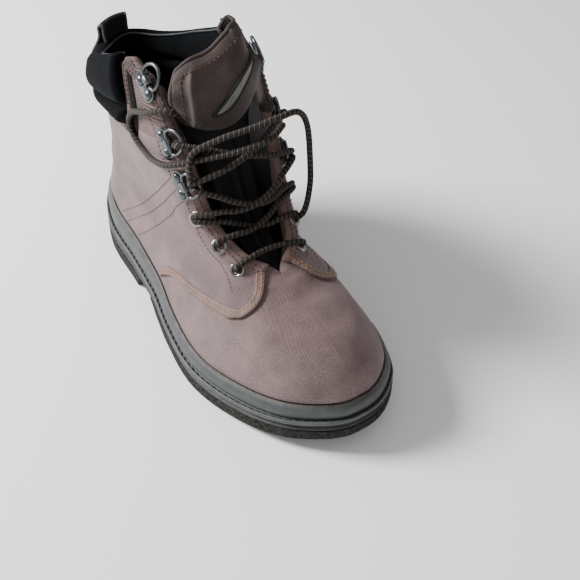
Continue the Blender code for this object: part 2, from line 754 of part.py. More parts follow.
def make_tongue(canvas):
    steps, columns = 15, 8
    outer, inner = [], []
    for i in range(steps + 1):
        along = i / steps
        outer.append([])
        inner.append([])
        for j in range(columns + 1):
            across = 2 * j / columns - 1
            thick = TONGUE_THICK * (0.45 + 0.55 * (1 - across**4)) * (0.6 + 0.4 * min(along * 4, 1))
            point = tongue_point(across, along)
            outer[-1].append(point)
            inner[-1].append(point - tongue_normal(across, along) * thick)
    sheet_solid("tongue", outer, inner, canvas)


class Seat:
    """A place on the upper for a fastening, with its own axes.

    up runs along the facing towards the top, front towards the facing edge, out off the
    surface."""

    def __init__(self, side, level, place, skin=None):
        self.side, self.level, self.place, self.skin = side, level, place, skin
        step = 0.01
        self.point = upper_point(side * place, level)
        self.by_level = (upper_point(side * place, level + step)
                         - upper_point(side * place, level - step)) / (2 * step)
        self.by_place = (upper_point(side * (place + step), level)
                         - upper_point(side * (place - step), level)) / (2 * step)
        self.out = self.by_place.cross(self.by_level).normalized() * -side
        self.up = (self.by_level - self.out * self.by_level.dot(self.out)).normalized()
        self.front = self.up.cross(self.out).normalized() * side
        if self.front.dot(self.by_place) < 0:
            self.front = -self.front

    def at(self, forward, upward, offset):
        """A point that many metres from the middle, measured along the surface."""
        a, b = self.by_place.dot(self.front), self.by_level.dot(self.front)
        c, d = self.by_place.dot(self.up), self.by_level.dot(self.up)
        span = a * d - b * c
        place = self.place + (forward * d - upward * b) / span
        level = self.level + (upward * a - forward * c) / span
        return upper_offset(self.side * place, min(level, 1.0), offset)

    def flat(self, forward, upward, rise):
        """A point in the flat frame that touches the upper in the middle."""
        return self.point + self.front * forward + self.up * upward + self.out * rise

    def rest(self, spots):
        """How high a flat piece lies over the quarter, if it covers those spots."""
        high = []
        for forward, upward in spots:
            above = frame_point(self.flat(forward, upward, 0.02))
            hit = self.skin.ray_cast(above, -self.out)
            if hit[0] is not None:
                high.append(0.02 - hit[3])
        return max(high) + FIT_GAP


def turned_solid(name, centre, axes, profile, material, steps=12):
    """A solid of revolution. profile: (radius, height) pairs, a closed loop if it keeps off
    the axis, else from the axis to the axis."""
    bm = bmesh.new()
    across, along, out = axes
    on_axis = profile[0][0] == 0.0
    rows = []
    for radius, rise in profile:
        if radius == 0.0:
            rows.append([bm.verts.new(frame_point(centre + out * rise))] * steps)
            continue
        row = []
        for i in range(steps):
            turn = 2 * math.pi * i / steps
            row.append(bm.verts.new(frame_point(
                centre + (across * math.cos(turn) + along * math.sin(turn)) * radius + out * rise)))
        rows.append(row)
    pairs = list(zip(rows, rows[1:])) + ([] if on_axis else [(rows[-1], rows[0])])
    for low, top in pairs:
        for i in range(steps):
            j = (i + 1) % steps
            corners = []
            for vert in (low[i], low[j], top[j], top[i]):
                if vert not in corners:
                    corners.append(vert)
            bm.faces.new(corners)
    return make_object(name, bm, material)


def wire_solid(name, points, radius, material, sides=5, closed=False):
    """A round wire along a path."""
    bm = bmesh.new()
    count = len(points)
    rows = []
    side = None
    for i, point in enumerate(points):
        if closed:
            run = (points[(i + 1) % count] - points[i - 1]).normalized()
        else:
            run = (points[min(i + 1, count - 1)] - points[max(i - 1, 0)]).normalized()
        if side is None:
            side = run.orthogonal().normalized()
        side = (side - run * side.dot(run)).normalized()
        other = run.cross(side)
        rows.append([bm.verts.new(frame_point(
            point + (side * math.cos(2 * math.pi * k / sides) + other * math.sin(2 * math.pi * k / sides))
            * radius)) for k in range(sides)])
    turn = 0
    if closed:
        gaps = [(rows[0][k].co - rows[-1][0].co).length for k in range(sides)]
        turn = gaps.index(min(gaps))
    for i in range(count if closed else count - 1):
        low, top = rows[i], rows[(i + 1) % count]
        shift = turn if i == count - 1 else 0
        for k in range(sides):
            j = (k + 1) % sides
            bm.faces.new((low[k], low[j], top[(j + shift) % sides], top[(k + shift) % sides]))
    if not closed:
        bm.faces.new(rows[0][::-1])
        bm.faces.new(rows[-1])
    return make_object(name, bm, material)


def join_solids(body, others):
    """Adds overlapping solids to a body, and hides them."""
    for other in others:
        cut_away(body, other, "UNION")
        other.hide_render = True
        other.display_type = "WIRE"
    return body


def make_eyelet(name, seat, metal):
    """A rolled eyelet through the quarter and the upper, and the cutter for its hole."""
    hole, outer = EYELET_HOLE / 2, EYELET_OUT / 2
    barrel = hole + EYELET_WALL
    turns = [2 * math.pi * i / 10 for i in range(10)]
    rise = seat.rest([(math.cos(turn) * r, math.sin(turn) * r) for turn in turns
                      for r in (barrel, outer * 0.8, outer)])
    inside = -WALL - FIT_GAP - 0.0006
    axes = (seat.front, seat.up, seat.out)
    turned_solid(name, seat.flat(0.0, 0.0, 0.0), axes, (
        (barrel, inside),
        (barrel, rise),
        (outer, rise),
        (outer - 0.0005, rise + EYELET_RISE * 0.7),
        (hole + 0.0010, rise + EYELET_RISE),
        (hole, rise + EYELET_RISE * 0.4),
        (hole, inside),
    ), metal, steps=10)
    cutter = turned_solid("guide_" + name, seat.flat(0.0, 0.0, 0.0), axes, (
        (0.0, -0.012), (barrel + FIT_GAP, -0.012), (barrel + FIT_GAP, 0.008), (0.0, 0.008),
    ), metal, steps=10)
    cutter.hide_render = True
    cutter.display_type = "WIRE"
    return cutter


def make_ring_plate(name, seat, steel):
    """A riveted plate with a clip along its front edge, and the D-ring in the clip."""
    rows = []
    for along, share in ((-1.0, 0.45), (-0.75, 0.9), (0.0, 1.0), (0.75, 0.9), (1.0, 0.45)):
        half = PLATE_WIDE / 2 * share
        rows.append([(f, along * PLATE_LONG / 2) for f in (-half, 0.0, half)])
    low = seat.rest([spot for row in rows for spot in row]
                    + [(PLATE_WIDE / 2 + RING_WIRE, up * CLIP_LONG / 2) for up in (-1, 0, 1)])

    def flat(forward, upward, rise):
        return seat.flat(forward, upward, low + rise)

    plate = sheet_solid("ring_plate_" + name,
                        [[flat(f, u, PLATE_THICK) for f, u in row] for row in rows],
                        [[flat(f, u, 0.0) for f, u in row] for row in rows], steel)
    radius = RIVET_WIDE / 2
    extras = [turned_solid("guide_rivet", flat(-0.0006, end * RIVET_SPACE / 2, 0.0),
                           (seat.front, seat.up, seat.out), (
                               (0.0, PLATE_THICK * 0.4),
                               (radius, PLATE_THICK * 0.4),
                               (radius * 0.9, PLATE_THICK + RIVET_RISE * 0.5),
                               (0.0, PLATE_THICK + RIVET_RISE),
                           ), steel, steps=8) for end in (-1, 1)]
    wire = RING_WIRE / 2
    hold = wire + RING_GAP
    pivot = flat(PLATE_WIDE / 2 + hold * 0.5, 0.0, CLIP_SKIN + hold)
    extras.append(turned_solid("guide_clip", pivot, (seat.front, seat.out, seat.up), (
        (hold, -CLIP_LONG / 2),
        (hold + CLIP_SKIN, -CLIP_LONG / 2),
        (hold + CLIP_SKIN, CLIP_LONG / 2),
        (hold, CLIP_LONG / 2),
    ), steel, steps=8))
    join_solids(plate, extras)
    lean = math.radians(RING_LEAN)
    reach = seat.front * math.cos(lean) + seat.out * math.sin(lean)
    corner = 0.0022
    half = RING_LONG / 2
    path = [(0.0, -half + corner), (0.0, 0.0), (0.0, half - corner),
            (corner * 0.35, half - corner * 0.3), (corner * 1.3, half)]
    steps = 6
    for i in range(1, steps):
        turn = math.pi * i / steps
        path.append((corner * 1.3 + (RING_REACH - corner * 1.3) * math.sin(turn),
                     half * math.cos(turn)))
    path += [(corner * 1.3, -half), (corner * 0.35, -half + corner * 0.3)]
    wire_solid("ring_" + name, [pivot + reach * x + seat.up * y for x, y in path], wire, steel,
               closed=True)
    return pivot + reach * (RING_REACH - RING_WIRE * 0.5)


def make_fastenings(upper, quarters, metal, steel):
    """Eyelets and ring plates on both sides. Gives the places where the lace passes."""
    holds = {}
    for side, word, quarter in ((-1, "lateral", quarters[0]), (1, "medial", quarters[1])):
        mesh = quarter.data
        skin = BVHTree.FromPolygons([v.co for v in mesh.vertices], [p.vertices for p in mesh.polygons])
        for height_word, level, place in EYELETS:
            seat = Seat(side, level, place, skin)
            cutter = make_eyelet(f"eyelet_{word}_{height_word}", seat, metal)
            cut_away(upper, cutter, "DIFFERENCE")
            cut_away(quarter, cutter, "DIFFERENCE")
            holds[word, "eyelet", height_word] = seat
        for height_word, level, place in RINGS:
            seat = Seat(side, level, place, skin)
            seat.eye = make_ring_plate(f"{word}_{height_word}", seat, steel)
            holds[word, "ring", height_word] = seat
    return holds


def make_patch(woven):
    """An oval patch on the flap's face, low outer end to high inner end."""
    count, rings = 16, 2
    bm = bmesh.new()
    layers = []
    for lift in (PATCH_CLEAR, PATCH_CLEAR + PATCH_THICK):
        def spot(radius, turn):
            a = math.cos(turn) * radius * PATCH_LONG
            b = math.sin(turn) * radius * PATCH_WIDE
            across = PATCH_ACROSS + a * PATCH_RUN - b * PATCH_RISE
            along = PATCH_ALONG + (a * PATCH_RISE + b * PATCH_RUN) * 0.28
            return bm.verts.new(frame_point(
                tongue_point(across, along) + tongue_normal(across, along) * lift))

        middle = spot(0.0, 0.0)
        layers.append((middle, [[spot((r + 1) / rings, 2 * math.pi * i / count)
                                 for i in range(count)] for r in range(rings)]))
    for middle, loops in layers:
        for i in range(count):
            j = (i + 1) % count
            bm.faces.new((middle, loops[0][i], loops[0][j]))
            for low, top in zip(loops, loops[1:]):
                bm.faces.new((low[i], low[j], top[j], top[i]))
    rims = [loops[-1] for _, loops in layers]
    for i in range(count):
        j = (i + 1) % count
        bm.faces.new((rims[0][i], rims[0][j], rims[1][j], rims[1][i]))
    make_object("tongue_patch", bm, woven)


def strand_path(start, middle, end, count=8):
    """A slack strand through three points."""
    points = []
    for i in range(count + 1):
        t = i / count
        points.append(start * ((1 - t) * (1 - 2 * t)) + middle * (4 * t * (1 - t))
                      + end * (t * (2 * t - 1)))
    return points


def smooth_path(points, spacing):
    """Points at an even spacing along a smooth curve through the given ones."""
    fine = []
    for i in range(len(points) - 1):
        before, here = points[max(i - 1, 0)], points[i]
        there, after = points[i + 1], points[min(i + 2, len(points) - 1)]
        for k in range(12):
            t = k / 12
            fine.append((here * 2 + (there - before) * t
                         + (before * 2 - here * 5 + there * 4 - after) * t * t
                         + (here * 3 - before - there * 3 + after) * t**3) / 2)
    fine.append(points[-1])
    length = sum((b - a).length for a, b in zip(fine, fine[1:]))
    count = max(round(length / spacing), 2)
    even, walked, index = [fine[0]], 0.0, 0
    for k in range(1, count):
        goal = length * k / count
        while walked + (fine[index + 1] - fine[index]).length < goal:
            walked += (fine[index + 1] - fine[index]).length
            index += 1
        share = (goal - walked) / (fine[index + 1] - fine[index]).length
        even.append(fine[index].lerp(fine[index + 1], share))
    return even + [fine[-1]]


def make_cord(name, points, material):
    """A loose lace as a round tube along a curve."""
    curve = bpy.data.curves.new(name, "CURVE")
    curve.dimensions = "3D"
    curve.bevel_depth = LACE_THICK / 2
    curve.bevel_resolution = 2
    curve.use_fill_caps = True
    path = smooth_path([Vector(p) for p in points], LACE_THICK * 2.4)
    spline = curve.splines.new("POLY")
    spline.points.add(len(path) - 1)
    for slot, point in zip(spline.points, path):
        slot.co = (*frame_point(point), 1.0)
    curve.materials.append(material)
    bpy.context.scene.collection.objects.link(bpy.data.objects.new(name, curve))


def make_laces(holds, cord):
    """Bars across the throat, which stop short of their eyelets, and the loose loops."""
    radius = LACE_THICK / 2

    def hold(side, kind, name, upward):
        """Where a strand ends beside its eyelet or ring, a little above or below its middle."""
        seat = holds[side, kind, name]
        if kind == "ring":
            return seat.eye + seat.front * (radius + RING_WIRE - RING_TUCK) + seat.up * upward
        lift = 2 * FIT_GAP + QUARTER_THICK + radius + LACE_CLEAR
        return seat.at(EYELET_OUT / 2 + radius * 0.6, upward, lift)

    ends = [hold(word, "eyelet", "low", 0.0) for word in ("lateral", "medial")]
    wire_solid("lace_bar", strand_path(ends[0], Vector(LACE_BAR), ends[1]), radius, cord)
    for name, low, top, cross in LACE_CROSSES:
        middle = Vector(cross)
        strands = []
        for word, other, lift in (("lateral", "medial", 0.5), ("medial", "lateral", -0.5)):
            path = strand_path(hold(word, *low, LACE_APART / 2),
                               middle + Vector((lift, 0.0, lift)) * radius,
                               hold(other, *top, -LACE_APART / 2))
            label = name if not strands else "guide_" + name
            strands.append(wire_solid(label, path, radius, cord))
        join_solids(strands[0], strands[1:])
    for name, points in LACE_CORDS:
        make_cord(name, points, cord)


def main():
    for obj in list(bpy.data.objects):
        bpy.data.objects.remove(obj)
    canvas = make_material("coated canvas", (0.33, 0.25, 0.24), 0.75)
    quarter_canvas = make_material("quarter canvas", (0.36, 0.27, 0.26), 0.72)
    tongue_canvas = make_material("tongue canvas", (0.10, 0.075, 0.07), 0.8)
    padding = make_material("padded collar knit", (0.02, 0.022, 0.026), 0.85)
    felt = make_material("felt", (0.10, 0.10, 0.10), 0.95)
    rubber = make_material("midsole rubber", (0.14, 0.15, 0.14), 0.6)
    rand_rubber = make_material("rand rubber", (0.13, 0.15, 0.155), 0.5)
    board = make_material("insole foam", (0.03, 0.03, 0.032), 0.9)
    webbing = make_material("loop webbing", (0.015, 0.014, 0.014), 0.8)
    metal = make_material("nickel eyelets", (0.60, 0.60, 0.58), 0.3, 1.0)
    woven = make_material("woven patch", (0.30, 0.31, 0.28), 0.7)
    cord = make_material("round lace", (0.035, 0.025, 0.02), 0.8)
    steel = make_material("nickel rings", (0.42, 0.43, 0.44), 0.28, 1.0)
    make_sole(felt, rubber, rand_rubber, board)
    upper, quarters = make_upper(canvas, quarter_canvas, padding, webbing)
    holds = make_fastenings(upper, quarters, metal, steel)
    make_tongue(tongue_canvas)
    make_patch(woven)
    make_laces(holds, cord)


main()
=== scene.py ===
# Dresses the right foot's wading boot on its CAD frame.
# Metres, toe towards +X, outer side towards -Y, floor at zero.
import math

import bpy
import numpy as np
from mathutils import Matrix, Vector
from mathutils.kdtree import KDTree


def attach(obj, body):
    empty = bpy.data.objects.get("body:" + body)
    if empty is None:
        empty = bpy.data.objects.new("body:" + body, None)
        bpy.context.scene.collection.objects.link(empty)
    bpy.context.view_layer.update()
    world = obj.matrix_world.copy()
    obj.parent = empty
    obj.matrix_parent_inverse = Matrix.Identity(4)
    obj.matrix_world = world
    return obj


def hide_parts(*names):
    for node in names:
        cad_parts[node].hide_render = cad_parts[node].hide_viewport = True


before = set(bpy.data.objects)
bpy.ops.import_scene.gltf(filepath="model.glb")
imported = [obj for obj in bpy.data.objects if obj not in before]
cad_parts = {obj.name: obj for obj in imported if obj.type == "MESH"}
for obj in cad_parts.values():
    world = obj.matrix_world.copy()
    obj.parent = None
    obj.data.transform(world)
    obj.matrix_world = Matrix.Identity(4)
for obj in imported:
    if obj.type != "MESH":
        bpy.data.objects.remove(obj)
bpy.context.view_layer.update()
print("frame loaded")

# The boot's own measures, as the solids have them
sole = dict(length=0.312, ballWidth=0.117, toeDrift=0.006, toeSpring=0.013, roundness=2.6,
            feltHeel=0.011, feltBall=0.008, stepHeel=0.022, stepBall=0.016, randHeel=0.016,
            randBall=0.0105, lipInset=0.0005, lipThick=0.0032, waistInset=0.0022,
            randFootInset=0.0034, randTopInset=0.0062, upperInset=0.0074)
shaft = dict(wall=0.0022, quarterThick=0.0013, tabHeight=0.190, backHeight=0.140, width=0.078,
             instepWidth=0.078, toeBoxWidth=0.104, heelCupWidth=0.070, facingGap=0.064,
             heelRound=0.046, toplineDip=0.010, tabCorner=0.011, throat=0.46, fitGap=0.0003,
             quarterFoot=0.095, collarFoot=0.850, tabRearLow=0.565, tabRearTop=0.850)
outlineTable = (
    # along, width, lateral half, medial half
    (0.00, 0.088, 0.59, 0.48), (0.18, 0.088, 0.61, 0.54), (0.34, 0.086, 0.588, 0.437),
    (0.44, 0.086, 0.599, 0.407), (0.56, 0.117, 0.492, 0.359), (0.70, 0.117, 0.533, 0.504),
    (0.82, 0.117, 0.504, 0.607), (0.92, 0.117, 0.470, 0.590), (1.00, 0.117, 0.359, 0.479),
)
levelTable = (
    # level, ridge x, ridge z, back x, back z, facing edge, corner run
    (0.00, 0.976, 0.206, 0.023, 0.271, 0.00, 0.50), (0.08, 0.974, 0.247, 0.026, 0.307, 0.00, 0.50),
    (0.16, 0.958, 0.295, 0.031, 0.350, 0.00, 0.50), (0.25, 0.920, 0.339, 0.036, 0.400, 0.00, 0.50),
    (0.34, 0.859, 0.374, 0.041, 0.460, 0.00, 0.48), (0.41, 0.795, 0.403, 0.046, 0.514, 0.00, 0.46),
    (0.46, 0.740, 0.426, 0.050, 0.553, 0.00, 0.44), (0.53, 0.683, 0.463, 0.055, 0.610, 0.22, 0.36),
    (0.60, 0.635, 0.505, 0.058, 0.667, 0.31, 0.30), (0.68, 0.596, 0.568, 0.059, 0.733, 0.37, 0.25),
    (0.77, 0.567, 0.668, 0.057, 0.805, 0.41, 0.20), (0.86, 0.529, 0.779, 0.052, 0.878, 0.44, 0.17),
    (0.93, 0.481, 0.889, 0.047, 0.940, 0.47, 0.14), (1.00, 0.388, 0.995, 0.043, 1.000, 0.50, 0.13),
)
girthTable = (
    # level, then half widths at heel, waist, instep, fore and front
    (0.00, 0.55, 0.54, 0.60, 0.50, 0.50), (0.08, 0.51, 0.50, 0.585, 0.47, 0.48),
    (0.16, 0.48, 0.46, 0.55, 0.425, 0.44), (0.25, 0.46, 0.43, 0.51, 0.375, 0.385),
    (0.34, 0.45, 0.42, 0.47, 0.325, 0.33), (0.46, 0.45, 0.42, 0.44, 0.29, 0.28),
    (0.60, 0.45, 0.43, 0.455, 0.335, 0.335), (0.77, 0.44, 0.435, 0.465, 0.350, 0.345),
    (0.86, 0.44, 0.445, 0.475, 0.360, 0.345), (1.00, 0.46, 0.475, 0.50, 0.370, 0.345),
)
reachTable = (
    # level, how far forward the quarter reaches
    (-0.10, 0.470), (0.10, 0.480), (0.16, 0.500), (0.20, 0.535), (0.22, 0.585), (0.24, 0.655),
    (0.265, 0.740), (0.285, 0.800), (0.31, 0.858), (0.34, 0.905), (0.37, 0.940), (0.40, 0.966),
    (0.43, 0.983), (0.46, 0.992), (0.49, 0.998), (0.52, 1.030),
)
girthStations = np.array((0.10, 0.35, 0.60, 0.80, 1.00))


def smoothStep(value):
    value = np.clip(value, 0.0, 1.0)
    return value * value * (3.0 - 2.0 * value)


def unit(vectors):
    return vectors / np.linalg.norm(vectors, axis=-1)[..., None]


def tangentsOf(steps, values):
    slopes = np.diff(values, axis=-1) / steps
    tangents = np.zeros_like(values)
    tangents[..., 0], tangents[..., -1] = slopes[..., 0], slopes[..., -1]
    left, right = slopes[..., :-1], slopes[..., 1:]
    a, b = 2 * steps[1:] + steps[:-1], steps[1:] + 2 * steps[:-1]
    same = left * right > 0
    safeLeft, safeRight = np.where(same, left, 1.0), np.where(same, right, 1.0)
    inner = (a + b) / (a / safeLeft + b / safeRight)
    tangents[..., 1:-1] = np.where(same, inner, 0.0)
    return tangents


def hermite(places, values, tangents, at):
    # values and tangents hold one row for each point, or one row for all
    at = np.clip(at, places[0], places[-1])
    i = np.clip(np.searchsorted(places, at) - 1, 0, len(places) - 2)
    steps = np.diff(places)
    step = steps[i]
    k = (at - places[i]) / step
    if values.ndim == 1:
        v0, v1, t0, t1 = values[i], values[i + 1], tangents[i], tangents[i + 1]
    else:
        row = np.arange(len(at))
        v0, v1, t0, t1 = values[row, i], values[row, i + 1], tangents[row, i], tangents[row, i + 1]
    return ((1 + 2 * k) * (1 - k) ** 2 * v0 + k * (1 - k) ** 2 * step * t0
            + k * k * (3 - 2 * k) * v1 + k * k * (k - 1) * step * t1)


def curveOf(table, column, scale=1.0):
    places = np.array([row[0] for row in table], float)
    values = np.array([row[column] * scale for row in table], float)
    tangents = tangentsOf(np.diff(places), values)
    return lambda at: hermite(places, values, tangents, np.asarray(at, float))


def rounding(distance, radius, power=2.3):
    k = 1.0 - np.clip(distance / radius, 0.0, 1.0)
    return (1.0 - k**power) ** (1.0 / power)


lateralHalf = curveOf([(r[0], r[1] * r[2]) for r in outlineTable], 1)
medialHalf = curveOf([(r[0], r[1] * r[3]) for r in outlineTable], 1)


def toeShift(along):
    return sole["toeDrift"] * np.maximum((along - 0.75) / 0.25, 0.0) ** 2


def outlinePoint(along, side):
    end = np.maximum(1.0 - np.abs(2.0 * along - 1.0) ** sole["roundness"], 0.0)
    end = end ** (1.0 / sole["roundness"])
    half = np.where(side < 0, lateralHalf(along), medialHalf(along)) * end
    return np.stack([sole["length"] * along, toeShift(along) + side * half,
                     np.zeros_like(half)], -1)


def cosineShare(part):
    return (1.0 - np.cos(np.pi * part)) / 2.0


sides = [outlinePoint(np.linspace(0, 1, 201), s)[:, 1] for s in (-1, 1)]
middle = np.array((sole["length"] / 2, (sides[0].min() + sides[1].max()) / 2, 0.0))


def insetPoint(part, side, inset):
    step = 0.004

    def near(value):
        flip = np.where((value < 0) | (value > 1), -1, 1)
        inside = np.where(value < 0, -value, np.where(value > 1, 2 - value, value))
        return outlinePoint(cosineShare(inside), side * flip)

    here = outlinePoint(cosineShare(part), side)
    run = near(part + step) - near(part - step)
    inward = unit(np.stack([-run[:, 1], run[:, 0], np.zeros(len(run))], -1))
    return here + inward * (-side * inset)[:, None]


def soleHeight(x, heel, ball):
    along = x / sole["length"]
    fall = smoothStep((along - 0.25) / 0.40)
    spring = sole["toeSpring"] * np.maximum((along - 0.68) / 0.32, 0.0) ** 2
    return heel * (1.0 - fall) + ball * fall + spring


ridgeX = curveOf(levelTable, 1, sole["length"])
ridgeZ = curveOf(levelTable, 2, shaft["tabHeight"])
backX = curveOf(levelTable, 3, sole["length"])
backZ = curveOf(levelTable, 4, shaft["backHeight"])
edgeHalf = curveOf(levelTable, 5, shaft["facingGap"])
cornerRun = curveOf(levelTable, 6, sole["ballWidth"])
girthCurves = [curveOf(girthTable, 1, shaft["heelCupWidth"]),
               curveOf(girthTable, 2, shaft["instepWidth"]),
               curveOf(girthTable, 3, shaft["instepWidth"]),
               curveOf(girthTable, 4), curveOf(girthTable, 5)]
quarterReach = curveOf(reachTable, 1)


def halfGirth(level, share):
    blend = smoothStep((level - shaft["throat"]) / 0.10) * (level > shaft["throat"])
    frontWidth = shaft["toeBoxWidth"] + (shaft["width"] / 0.75 - shaft["toeBoxWidth"]) * blend
    values = np.stack([c(level) for c in girthCurves], -1)
    values[:, 3:] *= frontWidth[:, None]
    tangents = tangentsOf(np.diff(girthStations), values)
    return hermite(girthStations, values, tangents, share)


def footprint(part, side, climb, inset=sole["upperInset"]):
    # between the midsole's step and the rand's top
    point = insetPoint(part, side, inset)
    low = soleHeight(point[:, 0], sole["stepHeel"], sole["stepBall"]) + shaft["fitGap"]
    top = soleHeight(point[:, 0], sole["stepHeel"] + sole["randHeel"],
                     sole["stepBall"] + sole["randBall"])
    point[:, 2] = low + (top - low) * climb
    return point


def upperInside(place, level):
    part, side = np.abs(place), np.where(place < 0, -1, 1)
    both, rear = cosineShare(part), 1.0 - np.cos(np.pi * part / 2.0)
    share = both + (rear - both) * smoothStep((level - 0.15) / (shaft["throat"] - 0.15))
    x = backX(level) + (ridgeX(level) - backX(level)) * share
    z = backZ(level) + (ridgeZ(level) - backZ(level)) * share
    dip = shaft["toplineDip"] * (1 - np.abs(2 * share - 1) ** 4)
    z = z - dip * smoothStep((level - 0.6) / 0.4)
    corner = 1 - rounding(ridgeX(level) - x, shaft["tabCorner"], 2.0)
    z = z - shaft["tabCorner"] * corner * smoothStep(level * 16 - 15)
    half = halfGirth(level, share) * rounding(x - backX(level), shaft["heelRound"], 2.0)
    edge = np.where(level > shaft["throat"], edgeHalf(level), 0.0)
    half = edge + (half - edge) * rounding(ridgeX(level) - x, cornerRun(level))
    point = np.stack([x, toeShift(x / sole["length"]) + side * half, z], -1)
    foot = footprint(part, side, np.ones(len(part)))
    mixed = foot + (point - foot) * smoothStep(level / 0.30)[:, None]
    straight = footprint(part, side, np.clip(1.0 + level, 0.0, 1.0))
    return np.where((level <= 0.0)[:, None], straight, mixed)


def flattened(*values):
    arrays = np.broadcast_arrays(*(np.asarray(value, float) for value in values))
    return [array.ravel() for array in arrays]


def upperPoint(place, level):
    # place: -1 outer front edge, 0 heel, 1 inner front edge; level: 0 rand, 1 top line
    place, level = flattened(place, level)
    held = np.clip(place, -1.0, 1.0)
    point = upperInside(held, level)
    beyond = np.abs(place) > 1.0
    if beyond.any():
        back = upperInside(np.sign(place) * 0.97, level)
        more = (np.abs(place) - 1.0) / 0.03
        point = np.where(beyond[:, None], point + (point - back) * more[:, None], point)
    return point


def upperNormal(place, level):
    step = 0.004
    place, level = flattened(place, level)

    def along(value):
        wrap = (np.abs(value) > 1.0) & (level <= shaft["throat"])
        return upperPoint(np.where(wrap, value - np.sign(value) * 2.0, value), level)

    run = along(place + step) - along(place - step)
    rise = (upperPoint(place, np.minimum(level + step, 1.0))
            - upperPoint(place, np.maximum(level - step, -1.0)))
    return unit(np.cross(rise, run))


def onUpper(place, level, offset):
    return upperPoint(place, level) + upperNormal(place, level) * np.reshape(offset, (-1, 1))


# Makers' tools
def hexColour(code):
    parts = [int(code[i:i + 2], 16) / 255 for i in (1, 3, 5)]
    return [c / 12.92 if c <= 0.04045 else ((c + 0.055) / 1.055) ** 2.4 for c in parts] + [1.0]


def clearSelection():
    for obj in bpy.context.selected_objects:
        obj.select_set(False)


def inEditMode(step, **settings):
    # one edit operator on the whole active mesh
    bpy.ops.object.mode_set(mode="EDIT")
    bpy.ops.mesh.select_all(action="SELECT")
    step(**settings)
    bpy.ops.object.mode_set(mode="OBJECT")


def applyModifier(obj, kind, **settings):
    modifier = obj.modifiers.new(kind.lower(), kind)
    for key, value in settings.items():
        setattr(modifier, key, value)
    clearSelection()
    obj.select_set(True)
    bpy.context.view_layer.objects.active = obj
    bpy.ops.object.modifier_apply(modifier=modifier.name)


def softWaves(points, size, seed):
    # slow even swells, the same each run
    spin = np.random.default_rng(seed)
    total = np.zeros(len(points))
    for octave in range(6):
        way = unit(spin.normal(size=3))
        total += np.sin(points @ way * (2 * np.pi / (size * (0.7 + 0.14 * octave))) + octave * 1.7)
    return total / 6


def clothTable(points):
    # metres walked along each row and up each column
    rows, columns = points.shape[:2]
    across = np.cumsum(np.linalg.norm(np.diff(points, axis=1), axis=2), axis=1)
    upward = np.cumsum(np.linalg.norm(np.diff(points, axis=0), axis=2), axis=0)
    return (np.concatenate([np.zeros((rows, 1)), across], axis=1),
            np.concatenate([np.zeros((1, columns)), upward], axis=0))


def gridPiece(name, points, material, closed=False, uvSize=None, uv=None, merge=2e-5,
              inner=None, others=(), bands=None, thick=0.0, drop=None, node=None, slot=None):
    # points: rows x columns x 3 in the heel's frame; bands: material number of each row;
    # drop: rows x columns, true for the faces to leave out
    rows, columns = points.shape[:2]
    clearSelection()
    bpy.ops.mesh.primitive_grid_add(x_subdivisions=columns - 1, y_subdivisions=rows - 1, size=1.0)
    obj = bpy.context.active_object
    obj.name = name
    mesh = obj.data
    mesh.name = name
    mesh.vertices.foreach_set("co", (points - middle).reshape(-1, 3).ravel())
    if uvSize is None and uv is None:
        u, v = clothTable(points)
        uv = np.stack([u - u[:, columns // 2][:, None], v], -1)
    elif uv is None:
        uv = np.stack(np.meshgrid(np.linspace(0, uvSize[0], columns),
                                  np.linspace(0, uvSize[1], rows)), -1)
    corner = np.zeros(len(mesh.loops), int)
    mesh.loops.foreach_get("vertex_index", corner)
    mesh.uv_layers[0].data.foreach_set("uv", uv.reshape(-1, 2)[corner].ravel())
    mesh.materials.append(material)
    for extra in others:
        mesh.materials.append(extra)
    if bands is not None:
        numbers = np.repeat(np.array(bands[:rows - 1]), columns - 1)
        mesh.polygons.foreach_set("material_index", numbers)
    mesh.update()
    if drop is not None:
        bpy.ops.object.mode_set(mode="EDIT")
        bpy.ops.mesh.select_mode(type="FACE")
        bpy.ops.mesh.select_all(action="DESELECT")
        bpy.ops.object.mode_set(mode="OBJECT")
        mesh.polygons.foreach_set("select", drop[:rows - 1, :columns - 1].ravel())
        bpy.ops.object.mode_set(mode="EDIT")
        bpy.ops.mesh.delete(type="FACE")
        bpy.ops.mesh.select_mode(type="VERT")
        bpy.ops.object.mode_set(mode="OBJECT")
    inEditMode(bpy.ops.mesh.remove_doubles, threshold=merge)
    if closed:
        inEditMode(bpy.ops.mesh.normals_make_consistent, inside=False)
    if inner is not None:
        mesh.materials.append(inner)
    if thick:
        applyModifier(obj, "SOLIDIFY", thickness=thick, offset=-1.0, use_even_offset=False,
                      material_offset=1 if inner is not None else 0, use_rim=True)
    bpy.context.view_layer.objects.active = obj
    obj.select_set(True)
    bpy.ops.object.shade_smooth()
    return finishPiece(obj, node)


def finishPiece(obj, node=None):
    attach(obj, "root")
    if node:
        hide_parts(*([node] if isinstance(node, str) else node))
    return obj


def framedPath(points, closed=False):
    # tangents and two sides of a path, without twist
    run = np.roll(points, -1, 0) - np.roll(points, 1, 0)
    if not closed:
        run[0], run[-1] = points[1] - points[0], points[-1] - points[-2]
    run = unit(run)
    side = np.zeros_like(points)
    start = Vector(run[0]).orthogonal().normalized()
    side[0] = start
    for i in range(1, len(points)):
        side[i] = unit(side[i - 1] - run[i] * np.dot(run[i], side[i - 1]))
    if closed:
        last = unit(side[-1] - run[0] * np.dot(run[0], side[-1]))
        turn = math.atan2(np.dot(np.cross(last, side[0]), run[0]), np.dot(last, side[0]))
        for i in range(len(points)):
            angle = turn * i / len(points)
            other = np.cross(run[i], side[i])
            side[i] = side[i] * math.cos(angle) + other * math.sin(angle)
    return run, side, np.cross(run, side)


